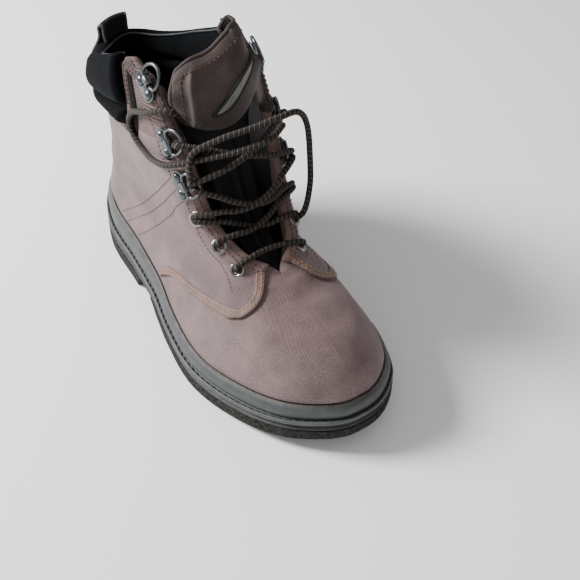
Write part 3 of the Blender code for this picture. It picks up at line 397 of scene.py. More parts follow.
def throughPoints(points, t):
    # a soft curve through all points, at t = 0 for the first, 1 for the next and so on
    i = np.clip(t.astype(int), 0, len(points) - 2)
    k = (t - i)[:, None]
    before, here = points[np.maximum(i - 1, 0)], points[i]
    there, after = points[i + 1], points[np.minimum(i + 2, len(points) - 1)]
    return (here * 2 + (there - before) * k + (before * 2 - here * 5 + there * 4 - after) * k * k
            + (here * 3 - before - there * 3 + after) * k**3) / 2


def walkedAlong(points):
    return np.concatenate([[0], np.cumsum(np.linalg.norm(np.diff(points, axis=0), axis=1))])


def interpRows(at, known, rows):
    return np.stack([np.interp(at, known, rows[:, k]) for k in range(rows.shape[1])], -1)


def smoothRoute(points, spacing, closed=False):
    points = np.array([np.array(p, float) for p in points])
    first, last = 0, len(points) - 1
    if closed:
        points = np.concatenate([points[-1:], points, points[:2]])
        first, last = 1, last + 2
    fine = throughPoints(points, np.linspace(first, last, 12 * (last - first) + 1))
    walked = walkedAlong(fine)
    steps = max(int(round(walked[-1] / spacing)), 2)
    even = interpRows(np.linspace(0, walked[-1], steps + 1), walked, fine)
    return even[:-1] if closed else even


def tubePiece(name, points, radius, material, sides=12, closed=False, node=None, slot=None):
    points = np.asarray(points, float)
    run, side, other = framedPath(points, closed)
    turns = np.linspace(0, 2 * np.pi, sides + 1)[None, :, None]
    circle = side[:, None] * np.cos(turns) + other[:, None] * np.sin(turns)
    rows = points[:, None] + radius * circle
    if closed:
        rows = np.concatenate([rows, rows[:1]])
    else:
        # each end is rounded by a smaller ring and a tip
        ends = []
        for point, way, ring in ((points[0], -run[0], rows[0]), (points[-1], run[-1], rows[-1])):
            shoulder = point + (ring - point) * 0.72 + way * radius * 0.5
            tip = np.repeat((point + way * radius * 0.72)[None], sides + 1, 0)
            ends.append(np.array([shoulder, tip]))
        rows = np.concatenate([ends[0][::-1], rows, ends[1]])
    length = np.linalg.norm(np.diff(points, axis=0), axis=1).sum()
    return gridPiece(name, rows, material, closed=True, uvSize=(1.0, length), merge=1e-6,
                     node=node, slot=slot)


# Camera, fitted to the photo's sole, toe, collar and tabs
cameraFit = dict(azimuth=57.15, height=43.15, roll=1.34, distance=0.6011, right=0.0458, up=0.0057,
                 focal=825.6 / 580 * 36.0)


def makeCamera():
    a, e, r = (math.radians(cameraFit[k]) for k in ("azimuth", "height", "roll"))
    back = Vector((math.sin(a) * math.cos(e), -math.cos(a) * math.cos(e), math.sin(e)))
    right = Vector((math.cos(a), math.sin(a), 0.0))
    up = back.cross(right)
    right2 = right * math.cos(r) + up * math.sin(r)
    up2 = up * math.cos(r) - right * math.sin(r)
    place = right2 * cameraFit["right"] + up2 * cameraFit["up"] + back * cameraFit["distance"]
    place.y -= middle[1]
    camera = bpy.data.objects.new("camera", bpy.data.cameras.new("camera"))
    bpy.context.scene.collection.objects.link(camera)
    camera.matrix_world = Matrix((
        (right2.x, up2.x, back.x, place.x), (right2.y, up2.y, back.y, place.y),
        (right2.z, up2.z, back.z, place.z), (0, 0, 0, 1)))
    camera.data.sensor_width = 36.0
    camera.data.lens = cameraFit["focal"]
    camera.data.clip_start = 0.02
    bpy.context.scene.camera = camera


makeCamera()
print("camera set")


# Materials
def addNode(material, kind, inputs, **settings):
    node = material.node_tree.nodes.new(kind)
    for key, value in settings.items():
        setattr(node, key, value)
    for key, value in inputs.items():
        if isinstance(value, bpy.types.NodeSocket):
            material.node_tree.links.new(value, node.inputs[key])
        else:
            node.inputs[key].default_value = value
    return node


def startMaterial(name, colour, roughness, **inputs):
    material = bpy.data.materials.new(name)
    material.use_nodes = True
    shader = material.node_tree.nodes["Principled BSDF"]
    shader.inputs["Base Color"].default_value = hexColour(colour)
    shader.inputs["Roughness"].default_value = roughness
    for key, value in inputs.items():
        socket = shader.inputs[key.replace("_", " ")]
        socket.default_value = hexColour(value) if isinstance(value, str) else value
    return material, shader


def feed(material, shader, **links):
    for key, socket in links.items():
        material.node_tree.links.new(socket, shader.inputs[key.replace("_", " ")])


def maths(material, operation, *values):
    return addNode(material, "ShaderNodeMath", dict(enumerate(values)),
                   operation=operation).outputs[0]


def grainNoise(material, size, detail, roughness=0.5):
    place = addNode(material, "ShaderNodeTexCoord", {})
    return addNode(material, "ShaderNodeTexNoise",
                   {"Vector": place.outputs["Object"], "Scale": 1 / size, "Detail": detail,
                    "Roughness": roughness}).outputs["Fac"]


def spread(material, value, low, high, toLow=0.0, toHigh=1.0):
    return addNode(material, "ShaderNodeMapRange",
                   {"Value": value, "From Min": low, "From Max": high, "To Min": toLow,
                    "To Max": toHigh}).outputs[0]


def blend(material, factor, first, second, **settings):
    return addNode(material, "ShaderNodeMix", {"Factor": factor, 6: first, 7: second},
                   data_type="RGBA", **settings).outputs[2]


def relief(material, height, strength, distance):
    return addNode(material, "ShaderNodeBump", {"Height": height, "Strength": strength,
                                                "Distance": distance}).outputs["Normal"]


def clothMaterial(name, light, dark, roughness, thread, bump, patch=0.022, diagonal=0.0,
                  ribs=0.0, grain=0.25, **inputs):
    # coordinates are the piece's own UV map in metres, so threads keep their real size
    material, shader = startMaterial(name, light, roughness, **inputs)
    uv = addNode(material, "ShaderNodeUVMap", {})
    turned = addNode(material, "ShaderNodeMapping",
                     {"Vector": uv.outputs["UV"], "Rotation": (0, 0, diagonal)})
    warp, weft = (addNode(material, "ShaderNodeTexWave",
                          {"Vector": turned.outputs["Vector"], "Scale": 0.314 / thread,
                           "Distortion": 0.6, "Detail": 2.0, "Detail Scale": 2.0},
                          bands_direction=way).outputs["Fac"] for way in "XY")
    threads = addNode(material, "ShaderNodeMix",
                      {"Factor": ribs, 2: maths(material, "MAXIMUM", warp, weft),
                       3: warp}).outputs[0]
    fine = grainNoise(material, 0.0014, 5.0, 0.65)
    broad = grainNoise(material, patch, 4.0, 0.6)
    shade = spread(material, maths(material, "MULTIPLY_ADD", fine, grain, broad),
                   0.36 + grain * 0.3, 0.66 + grain * 0.7)
    colour = blend(material, shade, hexColour(light), hexColour(dark))
    # the threads' valleys are darkened: painted shade between the threads
    threadValleyShade = spread(material, threads, 0.0, 0.5, 0.72 + 0.06 * (1 - ribs))
    valleyShadedColour = blend(material, 1.0, colour, threadValleyShade, blend_type="MULTIPLY")
    lift = maths(material, "MULTIPLY_ADD", fine, 0.6, threads)
    feed(material, shader, Base_Color=valleyShadedColour, Normal=relief(material, lift, 0.75, bump))
    return material


def rubberMaterial(name, light, dark, roughness, grain, bump, speck=0.006, **inputs):
    material, shader = startMaterial(name, light, roughness, **inputs)
    fine = grainNoise(material, grain, 4.0, 0.7)
    shade = spread(material, grainNoise(material, speck, 5.0, 0.62), 0.38, 0.62)
    feed(material, shader, Base_Color=blend(material, shade, hexColour(light), hexColour(dark)),
         Roughness=spread(material, fine, 0.3, 0.7, roughness - 0.08, roughness + 0.08),
         Normal=relief(material, fine, 0.6, bump))
    return material


def metalMaterial(name, colour, roughness, wear):
    material, shader = startMaterial(name, colour, roughness, Metallic=1.0)
    worn = grainNoise(material, 0.002, 4.0)
    feed(material, shader,
         Roughness=spread(material, worn, 0.3, 0.7, roughness - wear, roughness + wear))
    return material


# Vamp and shaft: polyurethane-coated nylon canvas, dull with a fine grain that catches light
coatedCanvas = clothMaterial("coated nylon canvas", "#826a69", "#5d4948", 0.62, 0.0012, 0.00045,
                             grain=0.5, Specular_IOR_Level=0.4, Sheen_Weight=0.12,
                             Sheen_Roughness=0.5)
# Quarter panel: the same canvas, laid a little paler and pinker
quarterCanvas = clothMaterial("quarter nylon canvas", "#806869", "#5e4b4c", 0.62, 0.0012, 0.00045,
                              grain=0.5, Specular_IOR_Level=0.4, Sheen_Weight=0.12,
                              Sheen_Roughness=0.5)
# Tab panel: coarse ribbed webbing canvas, ribs 1.7 mm apart show as slanting lines
ribbedCanvas = clothMaterial("ribbed nylon canvas", "#6f5c57", "#4f3f3b", 0.66, 0.0017, 0.0007,
                             diagonal=1.05, ribs=1.0, Specular_IOR_Level=0.35)
# Folded binding: brushed synthetic leather, brown, with a soft dull shine on its fold
boundLeather = clothMaterial("synthetic leather binding", "#362824", "#261c18", 0.58, 0.0009,
                             0.00012, patch=0.010, Specular_IOR_Level=0.4)
# Lower binding of the quarter: the same tape, faded to tan
tanLeather = clothMaterial("faded leather binding", "#765f5b", "#5d4a46", 0.62, 0.0009, 0.00015,
                           patch=0.008, Specular_IOR_Level=0.35)
# Rear strip of the tab: ribbed polyester tape, dark brown
ribbedTape = clothMaterial("ribbed polyester tape", "#140d0b", "#090605", 0.85, 0.0016, 0.0004,
                           ribs=1.0, Specular_IOR_Level=0.1)
# Tongue: brushed nylon over foam, dark brown with a soft bloom
tongueNylon = clothMaterial("brushed tongue nylon", "#453833", "#2f2623", 0.66, 0.0009, 0.00014,
                            patch=0.018, Specular_IOR_Level=0.35, Sheen_Weight=0.2,
                            Sheen_Roughness=0.4)
# Collar: stretch knit over foam, near black with a bluish bloom where the light grazes it
collarKnit = clothMaterial("stretch collar knit", "#060709", "#030405", 0.95, 0.0009, 0.00016,
                           patch=0.03, Specular_IOR_Level=0.08, Sheen_Weight=0.04,
                           Sheen_Roughness=0.4, Sheen_Tint="#7c8798")
# Tongue below its flap: nylon mesh, coloured near black as painted shade under the flap
tongueShadeBelowFlap = clothMaterial("tongue below flap painted shade", "#151112", "#0b0909", 0.75, 0.0012, 0.0002,
                           Specular_IOR_Level=0.3)
# Lining: brushed polyester, black and dead matt
liningCloth = clothMaterial("brushed lining", "#1c1b1d", "#111012", 0.9, 0.0010, 0.00012,
                            Specular_IOR_Level=0.2)
# Pull loop: woven nylon webbing, black, ribs across
blackWebbing = clothMaterial("woven nylon webbing", "#0d0b0a", "#070605", 0.8, 0.0013, 0.0004,
                             ribs=1.0, Specular_IOR_Level=0.35)
paleWebbing = clothMaterial("webbing edge yarn", "#4f4d46", "#35332f", 0.7, 0.0010, 0.0002)
# Piping: glossy cord sewn in the collar's rim
pipingCord = clothMaterial("grey piping", "#2a2d31", "#1c1e21", 0.55, 0.0010, 0.00015)
# Patch: woven label cloth, a silver grey lens in a wide dark olive edge, left bare
patchCloth = clothMaterial("woven satin patch", "#8b8b80", "#5f6058", 0.45, 0.0010, 0.00018,
                           patch=0.012, Specular_IOR_Level=0.5)
patchEdge = clothMaterial("olive edge yarn", "#24240f", "#141408", 0.6, 0.0010, 0.0003,
                          Specular_IOR_Level=0.35)
# Threads: bonded polyester, a little glossy
redThread = startMaterial("red brown thread", "#4e2527", 0.5)[0]
tanThread = startMaterial("tan thread", "#9c7558", 0.5)[0]
blackThread = startMaterial("black thread", "#1b1c1d", 0.55)[0]
# Rand: moulded nitrile rubber, mid grey, chalky with wear
randRubber = rubberMaterial("moulded rand rubber", "#424545", "#393c3c", 0.5, 0.0012, 0.00018,
                            Specular_IOR_Level=0.45)
# Rand's rounded top edge: a paler grey, a painted highlight where the light catches it
randEdgeHighlight = rubberMaterial("rand's top edge painted highlight", "#4f4c48", "#393633", 0.6, 0.0010, 0.00025)
# Midsole: moulded EVA rubber, darker, matt
midsoleRubber = rubberMaterial("moulded midsole rubber", "#343736", "#242626", 0.62, 0.0012,
                               0.00022)
# Midsole lip: the same rubber in a paler grey, a painted highlight on the lip's outer face and top
lipHighlightRubber = rubberMaterial("midsole lip painted highlight", "#4d504f", "#3a3d3c", 0.55, 0.0012, 0.0002)
# Felt: pressed polypropylene fibre, charcoal with pale flecks, fully matt
pressedFelt = rubberMaterial("pressed felt", "#3a3a37", "#1b1b1a", 0.95, 0.0009, 0.0009,
                             speck=0.0022, Specular_IOR_Level=0.1)
# Insole: needled foam board, near black
insoleBoard = rubberMaterial("insole foam board", "#232325", "#17171a", 0.9, 0.0012, 0.0003)
# Eyelets and ring plates: nickel-plated brass and steel, lightly worn
nickelEyelet = metalMaterial("nickel plated brass", "#86847f", 0.27, 0.08)
nickelSteel = metalMaterial("nickel plated steel", "#5b5e60", 0.30, 0.09)


def laceMaterial():
    # Round lace: braided polyester, brown, with painted black shade in the braid's grooves; one
    # cream carrier shows as slanting dashes
    material, shader = startMaterial("braided polyester lace", "#2c211b", 0.66,
                                     Specular_IOR_Level=0.35)
    uv = addNode(material, "ShaderNodeUVMap", {})
    parts = addNode(material, "ShaderNodeSeparateXYZ", {"Vector": uv.outputs["UV"]})
    # U goes once round, V is metres along; the braid repeats every 3.0 mm
    along = maths(material, "MULTIPLY", parts.outputs["Y"], 1 / 0.0030)

    def wave(turns, pitch):
        phase = maths(material, "MULTIPLY_ADD", parts.outputs["X"], turns, along)
        return maths(material, "SINE", maths(material, "MULTIPLY", phase, pitch * math.pi))

    braid = maths(material, "MAXIMUM", wave(2.0, 4), wave(-2.0, 4))
    cream = maths(material, "GREATER_THAN", wave(1.0, 2), 0.84)
    # the braid's grooves darker than its ridges: painted shade
    dark = spread(material, braid, -0.6, 1.0, 0.25)
    base = blend(material, dark, hexColour("#040303"), hexColour("#16100d"))
    colour = blend(material, maths(material, "MULTIPLY", cream, 0.45), base,
                   hexColour("#7a6853"))
    feed(material, shader, Base_Color=colour, Normal=relief(material, braid, 0.7, 0.0003))
    return material


laceCord = laceMaterial()
print("materials mixed")


# Seats of the fastenings, as on the solids
fastening = dict(eyeletOut=0.0102, eyeletHole=0.0052, eyeletWall=0.0006, eyeletRise=0.0011,
                 plateLong=0.0195, plateWide=0.0090, plateThick=0.0011, rivetWide=0.0068,
                 rivetRise=0.0019, rivetSpace=0.0105, clipLong=0.0060, clipSkin=0.0008,
                 ringWire=0.0022, ringLong=0.0150, ringReach=0.0115, ringLean=-3.0, ringGap=0.0004,
                 ringCorner=0.0022, eyeletFlat=0.62, barrelDeep=0.0050, barrelLow=0.0024)
eyeletPlaces = dict(low=(0.474, 0.964), middle=(0.570, 0.988), top=(0.660, 0.980))
ringPlaces = dict(low=(0.760, 0.975), middle=(0.862, 0.972), top=(0.954, 0.980))
sideWords = {-1: "lateral", 1: "medial"}


def makeSeat(side, level, place):
    step = 0.01
    probe = upperPoint([side * place, side * place, side * place, side * (place + step),
                        side * (place - step)],
                       [level, level + step, level - step, level, level])
    byLevel, byPlace = (probe[1] - probe[2]) / (2 * step), (probe[3] - probe[4]) / (2 * step)
    out = np.cross(byPlace, byLevel)
    out *= -side / np.linalg.norm(out)
    up = byLevel - out * byLevel.dot(out)
    up /= np.linalg.norm(up)
    front = np.cross(up, out) * side
    front /= np.linalg.norm(front)
    if front.dot(byPlace) < 0:
        front = -front
    return dict(point=probe[0], out=out, up=up, front=front, side=side, level=level, place=place,
                byLevel=byLevel, byPlace=byPlace)


def seatPoint(seat, forward, upward, rise):
    return seat["point"] + seat["front"] * forward + seat["up"] * upward + seat["out"] * rise


def seatAlong(seat, forward, upward, offset):
    a, b = seat["byPlace"].dot(seat["front"]), seat["byLevel"].dot(seat["front"])
    c, d = seat["byPlace"].dot(seat["up"]), seat["byLevel"].dot(seat["up"])
    span = a * d - b * c
    place = seat["place"] + (forward * d - upward * b) / span
    level = seat["level"] + (upward * a - forward * c) / span
    return onUpper(seat["side"] * place, min(level, 1.0), offset)[0]


def seatMatrix(seat, forward, upward, rise):
    # local x: front, y: up along the facing, z: out
    middlePoint = seatPoint(seat, forward, upward, rise) - middle
    across = np.cross(seat["up"], seat["out"])
    columns = [across, seat["up"], seat["out"], middlePoint]
    return Matrix([[columns[c][r] for c in range(4)] for r in range(3)] + [[0, 0, 0, 1]])


seats = {}
for side, word in sideWords.items():
    for name, (level, place) in eyeletPlaces.items():
        seats[word, "eyelet", name] = makeSeat(side, level, place)
    for name, (level, place) in ringPlaces.items():
        seats[word, "ring", name] = makeSeat(side, level, place)

quarterFace = shaft["fitGap"] + shaft["quarterThick"]
plateRise = quarterFace + 0.0006     # with play for the quarter's curve
for key, seat in seats.items():
    if key[1] == "ring":
        hold = fastening["ringWire"] / 2 + fastening["ringGap"]
        seat["pivot"] = seatPoint(seat, fastening["plateWide"] / 2 + hold * 0.5, 0.0,
                                  plateRise + fastening["clipSkin"] + hold)
        lean = math.radians(fastening["ringLean"])
        seat["reach"] = seat["front"] * math.cos(lean) + seat["out"] * math.sin(lean)
        seat["eye"] = seat["pivot"] + seat["reach"] * (fastening["ringReach"]
                                                       - fastening["ringWire"] * 0.5)

# Laces, camera and cords come first
lace = dict(thick=0.0038, clear=0.0010, tuck=0.0009, apart=0.0056, bar=(0.2150, 0.0, 0.0900))
laceCrosses = (
    ("lace_cross_low", ("eyelet", "middle"), ("eyelet", "top"), (0.2020, 0.0, 0.0990)),
    ("lace_cross_middle", ("eyelet", "top"), ("ring", "low"), (0.2010, 0.0, 0.1150)),
    ("lace_cross_top", ("ring", "low"), ("ring", "middle"), (0.1910, 0.0, 0.1440)),
)
laceLoops = (
    ("lace_loop_lateral", (
        (0.156, -0.0360, 0.1660), (0.146, -0.0412, 0.1610), (0.128, -0.0427, 0.1530),
        (0.116, -0.0417, 0.1410), (0.119, -0.0412, 0.1310), (0.131, -0.0407, 0.1270),
        (0.150, -0.0424, 0.1310), (0.168, -0.0400, 0.1370), (0.183, -0.0280, 0.1450),
        (0.196, -0.0080, 0.1520), (0.200, 0.0090, 0.1560), (0.193, 0.0230, 0.1580),
    )),
    ("lace_loop_medial", (
        (0.188, -0.0160, 0.1580), (0.194, 0.0000, 0.1630), (0.199, 0.0160, 0.1680),
        (0.198, 0.0300, 0.1670), (0.196, 0.0380, 0.1540), (0.199, 0.0390, 0.1300),
        (0.201, 0.0380, 0.1130), (0.2045, 0.0320, 0.0990), (0.2011, 0.0263, 0.0922),
    )),
)


def strandRoute(start, mid, end, count=8):
    t = np.linspace(0, 1, count + 1)[:, None]
    return start * ((1 - t) * (1 - 2 * t)) + mid * (4 * t * (1 - t)) + end * (t * (2 * t - 1))


def laceHold(word, kind, name, upward):
    seat = seats[word, kind, name]
    radius = lace["thick"] / 2
    if kind == "ring":
        return (seat["eye"] + seat["front"] * (radius + fastening["ringWire"] - lace["tuck"])
                + seat["up"] * upward)
    return seatAlong(seat, fastening["eyeletOut"] / 2 + radius * 0.6, upward,
                     quarterFace + shaft["fitGap"] + radius + lace["clear"])


def laceTail(word, kind, name, upward):
    # from the hold on into the eyelet's hole, or over the ring's bow and under it
    seat = seats[word, kind, name]
    radius = lace["thick"] / 2
    if kind == "ring":
        eye, front, out, up = (seat[k] for k in ("eye", "front", "out", "up"))
        clear = radius + fastening["ringWire"] / 2
        near = up * upward * 0.8
        return [eye - front * 0.0002 + out * clear + near,
                eye - front * (clear + 0.0012) + out * 0.0006 + near * 0.9,
                eye - front * 0.0012 - out * (clear + 0.0001) + near * 0.6]
    rise = quarterFace + fastening["eyeletRise"]
    return [seatPoint(seat, 0.0026, upward * 0.55, rise + radius + 0.0009),
            seatPoint(seat, 0.0004, upward * 0.22, rise - 0.0002),
            seatPoint(seat, 0.0001, upward * 0.12, -0.0062)]


def laceStrand(ends, mid):
    # ends: (word, kind, name, upward) of its two holds
    radius = lace["thick"] / 2
    first, last = laceHold(*ends[0]), laceHold(*ends[1])
    route = list(strandRoute(first, np.array(mid, float), last))
    head, tail = laceTail(*ends[0]), laceTail(*ends[1])
    return smoothRoute(head[::-1] + route[1:-1] + tail, radius * 0.55)


def makeLaces():
    radius = lace["thick"] / 2
    route = laceStrand((("lateral", "eyelet", "low", 0.0), ("medial", "eyelet", "low", 0.0)),
                       lace["bar"])
    tubePiece("lace_bar_braid", route, radius, laceCord, node="lace_bar", slot="lace_cord")
    for name, low, top, cross in laceCrosses:
        for word, other, lift in (("lateral", "medial", 0.5), ("medial", "lateral", -0.5)):
            mid = np.array(cross) + np.array((lift, 0.0, lift)) * radius
            ends = ((word, *low, lace["apart"] / 2), (other, *top, -lace["apart"] / 2))
            tubePiece(f"{name}_{word}", laceStrand(ends, mid), radius, laceCord, node=name,
                      slot="lace_cord")
    eye = seats["lateral", "ring", "low"]
    hidden = {
        "lace_loop_lateral": [(0.1605, -0.0240, 0.1585), (0.1600, -0.0305, 0.1650)],
        "lace_loop_medial": [tuple(eye["eye"] + eye["out"] * 0.0045 + eye["up"] * 0.0050),
                             (0.1815, -0.0310, 0.1490)],
    }
    for name, points in laceLoops:
        points = hidden[name] + list(points)
        route = smoothRoute(points, radius * 0.55)
        piece = tubePiece(name + "_braid", route, radius, laceCord, node=name, slot="lace_cord")


makeLaces()
print("laces run")


# Cloth coordinates: metres along and up the upper, from a table of its surface
uvPlaces, uvLevels = np.linspace(-1.06, 1.06, 213), np.linspace(-1, 1, 161)
uvGrid = upperPoint(*np.meshgrid(uvPlaces, uvLevels)).reshape(161, 213, 3)
uvAcross, uvUpward = clothTable(uvGrid)
uvAcross -= uvAcross[:, 106:107]        # from the heel


def clothUv(place, level):
    i = np.clip((place - uvPlaces[0]) / (uvPlaces[1] - uvPlaces[0]), 0, 211.999)
    j = np.clip((level - uvLevels[0]) / (uvLevels[1] - uvLevels[0]), 0, 159.999)
    a, b = i.astype(int), j.astype(int)
    s, t = i - a, j - b
    parts = []
    for table in (uvAcross, uvUpward):
        parts.append(table[b, a] * (1 - s) * (1 - t) + table[b, a + 1] * s * (1 - t)
                     + table[b + 1, a] * (1 - s) * t + table[b + 1, a + 1] * s * t)
    return np.stack(parts, -1)


# Creases and swells of the upper: route on the surface, half width, depth; a ridge is negative
creases = (
    (((-0.93, 0.385), (-0.985, 0.395), (1.0, 0.400), (0.97, 0.395), (0.93, 0.38)), 0.0075, 0.0016),
    (((-0.86, 0.300), (-0.80, 0.240), (-0.74, 0.190)), 0.0080, 0.0004),
    (((-0.30, 0.62), (-0.42, 0.60), (-0.55, 0.62)), 0.0090, 0.0006),
    (((-0.20, 0.50), (-0.36, 0.46), (-0.52, 0.50), (-0.66, 0.56)), 0.0085, 0.0008),
    (((-0.24, 0.42), (-0.40, 0.38), (-0.56, 0.40)), 0.0080, -0.0006),
    (((-0.62, 0.68), (-0.74, 0.64), (-0.86, 0.60)), 0.0070, 0.0004),
    (((0.30, 0.60), (0.45, 0.57), (0.60, 0.60)), 0.0090, 0.0006),
    (((0.22, 0.46), (0.40, 0.42), (0.58, 0.47)), 0.0085, 0.0007),
)


def creaseField():
    routes = []
    for points, width, depth in creases:
        spots = np.array(points)
        surface = upperPoint(spots[:, 0], spots[:, 1])
        routes.append((smoothRoute(list(surface), 0.003), width, depth))
    return routes


creaseRoutes = creaseField()


def pressedIn(points):
    total = 0.00030 * softWaves(points, 0.060, 3) + 0.00007 * softWaves(points, 0.016, 8)
    for route, width, depth in creaseRoutes:
        gap = np.min(np.linalg.norm(points[:, None] - route[None], axis=2), axis=1)
        total = total - depth * np.exp(-((gap / width) ** 2))
        total = total + depth * 0.35 * np.exp(-(((gap - width * 1.9) / width) ** 2))
    return total


def onBoot(place, level, offset):
    shape = np.broadcast(place, level).shape
    place, level, offset = flattened(place, level, offset)
    base, normal = upperPoint(place, level), upperNormal(place, level)
    calm = smoothStep((level - 0.02) / 0.10) * (1 - smoothStep((level - 0.80) / 0.06))
    calm = calm * np.where((np.abs(place) > 0.93) & (level > 0.44),
                           1 - smoothStep((np.abs(place) - 0.93) / 0.02), 1.0)
    moved = base + normal * (offset + pressedIn(base) * calm)[:, None]
    return moved.reshape(shape + (3,))


def upperSheet(name, place, level, offset, material, **more):
    points = onBoot(place, level, offset)
    return gridPiece(name, points, material, uv=clothUv(place, level), **more)


def surfaceShift(place, level, way):
    # change of place and level that moves along the surface by a vector
    step = 0.003
    byPlace = (upperPoint(place + step, level) - upperPoint(place - step, level)) / (2 * step)
    byLevel = (upperPoint(place, np.minimum(level + step, 1.0))
               - upperPoint(place, level - step)) / (step + np.minimum(step, 1.0 - level))[:, None]
    a, b, c = (byPlace**2).sum(1), (byPlace * byLevel).sum(1), (byLevel**2).sum(1)
    p, q = (byPlace * way).sum(1), (byLevel * way).sum(1)
    det = a * c - b * b
    return (p * c - q * b) / det, (a * q - b * p) / det


def evenRoute(points, spacing=0.0015):
    # the same even steps along a route given as (place, level) points
    points = np.array(points, float)
    t = np.linspace(0, len(points) - 1, 60 * (len(points) - 1) + 1)
    fine = throughPoints(points, t)
    walked = walkedAlong(upperPoint(fine[:, 0], fine[:, 1]))
    steps = max(int(walked[-1] / spacing), 2)
    goal = np.linspace(0, walked[-1], steps + 1)
    return np.interp(goal, walked, fine[:, 0]), np.interp(goal, walked, fine[:, 1])


def placesFromSide(side, x, z):
    # where the upper has that x and z, found from the nearest of a table and then refined
    tablePlace, tableLevel = np.meshgrid(side * np.linspace(0.05, 1, 100), np.linspace(0, 1, 90))
    tablePlace, tableLevel = tablePlace.ravel(), tableLevel.ravel()
    table = upperPoint(tablePlace, tableLevel)
    near = np.argmin((table[None, :, 0] - x[:, None]) ** 2 + (table[None, :, 2] - z[:, None]) ** 2,
                     axis=1)
    place, level = tablePlace[near], tableLevel[near]
    for _ in range(6):
        here = upperPoint(place, level)
        byPlace = (upperPoint(place + 0.002, level) - upperPoint(place - 0.002, level)) / 0.004
        byLevel = (upperPoint(place, level + 0.002) - upperPoint(place, level - 0.002)) / 0.004
        det = byPlace[:, 0] * byLevel[:, 2] - byLevel[:, 0] * byPlace[:, 2]
        gapX, gapZ = x - here[:, 0], z - here[:, 2]
        place = place + np.clip((gapX * byLevel[:, 2] - gapZ * byLevel[:, 0]) / det, -0.01, 0.01)
        level = level + np.clip((gapZ * byPlace[:, 0] - gapX * byPlace[:, 2]) / det, -0.01, 0.01)
    return place, level


def besideRoute(place, level, distance):
    # a route moved sideways along the surface, to the left of its run
    surface = upperPoint(place, level)
    run = np.gradient(surface, axis=0)
    side = unit(np.cross(upperNormal(place, level), run))
    byPlace, byLevel = surfaceShift(place, level, side * np.reshape(distance, (-1, 1)))
    return place + byPlace, level + byLevel


# Sole
def soleParts(first, last, count):
    # once round, from one end along the outer side and back along the inner side
    low, top = (math.acos(1.0 - 2.0 * along) / math.pi for along in (first, last))
    going = np.linspace(low, top, count)
    return np.concatenate([going, going[::-1]]), np.repeat((-1.0, 1.0), count)


def soleRing(inset, heel, ball, first=0.0, last=1.0, count=110):
    parts, turns = soleParts(first, last, count)
    point = insetPoint(parts, turns, inset)
    point[:, 2] = soleHeight(point[:, 0], heel, ball)
    return point


def ringPiece(name, rings, material, caps=True, bands=None, **more):
    rows = np.array([np.concatenate([ring, ring[:1]]) for ring in rings])
    if caps:
        ends = []
        for row in (rows[0], rows[-1]):
            # flat caps: each outer point's partner on the inner side shares a middle line
            partner = row[:-1][::-1]
            line = (row[:-1] + partner) / 2
            line = np.concatenate([line, line[:1]])
            ends.append([row + (line - row) * k for k in (0.35, 0.7, 1.0)])
        rows = np.concatenate([np.array(ends[0][::-1]), rows, np.array(ends[1])])
        if bands:
            bands = [0] * 3 + list(bands) + [bands[-1]] * 3
    if not caps:
        rows = np.concatenate([rows, rows[:1]])
    return gridPiece(name, rows, material, closed=True, bands=bands, **more)


welt = dict(inset=0.0019, pitch=0.0052, long=0.0036, thick=0.0009)


def makeSole():
    felt, heel, ball = 0.0003, sole["feltHeel"], sole["feltBall"]
    for name, low, top in (("outsole_heel", (0.0, 0.355), (0.0, 0.375)),
                           ("outsole_forefoot", (0.475, 1.0), (0.435, 1.0))):
        rings = []
        for k, inset, up in ((0.0, 0.0012, 0.0), (0.0, 0.0004, 0.0004), (0.0, 0.0, 0.0012),
                             (0.25, 0.0, 0.0), (0.5, 0.0001, 0.0), (0.75, 0.0001, 0.0),
                             (0.95, 0.0001, 0.0), (1.0, 0.0008, 0.0)):
            first = low[0] + (top[0] - low[0]) * k
            last = low[1] + (top[1] - low[1]) * k
            rings.append(soleRing(inset, heel * k + up, ball * k + up, first, last, 80))
        ringPiece(name + "_felt", rings, pressedFelt, node=name, slot="felt")
    footHeel, footBall = heel + felt, ball + felt
    lip = sole["lipThick"]
    rows = (
        # inset, heel height, ball height
        (0.0014, footHeel, footBall), (0.0006, footHeel + 0.0004, footBall + 0.0004),
        (0.0004, footHeel + 0.0012, footBall + 0.0012),
        (0.0010, footHeel + 0.0022, footBall + 0.0018),
        (0.0020, footHeel + 0.0040, footBall + 0.0024),
        (sole["waistInset"], sole["stepHeel"] - lip - 0.0016, sole["stepBall"] - lip - 0.0012),
    )
    rims = ((sole["waistInset"] - 0.0004, lip + 0.0004), (sole["lipInset"] + 0.0004, lip),
            (sole["lipInset"], lip - 0.0006), (sole["lipInset"], 0.0010),
            (sole["lipInset"] + 0.0003, 0.0002), (sole["lipInset"] + 0.0010, 0.0),
            (sole["lipInset"] + 0.0013, 0.0005), (sole["lipInset"] + 0.0023, 0.0006),
            (sole["lipInset"] + 0.0027, 0.0))
    rings = [soleRing(*row) for row in rows]
    rings += [soleRing(inset, sole["stepHeel"] - down, sole["stepBall"] - down)
              for inset, down in rims]
    # rows 7 to 10, the lip's outer face and top, take the painted highlight
    ringPiece("midsole_moulded", rings, midsoleRubber, bands=[0] * 7 + [1] * 4 + [0] * 4,
              others=[lipHighlightRubber], node="midsole", slot="midsole_rubber")
    seat = sole["upperInset"] + shaft["wall"] + 2 * shaft["fitGap"]
    bed, bedBall = sole["stepHeel"] + shaft["fitGap"], sole["stepBall"] + shaft["fitGap"]
    rings = [soleRing(seat, bed, bedBall), soleRing(seat, bed + 0.0030, bedBall + 0.0030),
             soleRing(seat + 0.0004, bed + 0.0038, bedBall + 0.0038),
             soleRing(seat + 0.0014, bed + 0.0040, bedBall + 0.0040)]
    ringPiece("insole_board", rings, insoleBoard, node="insole", slot="insole_foam")


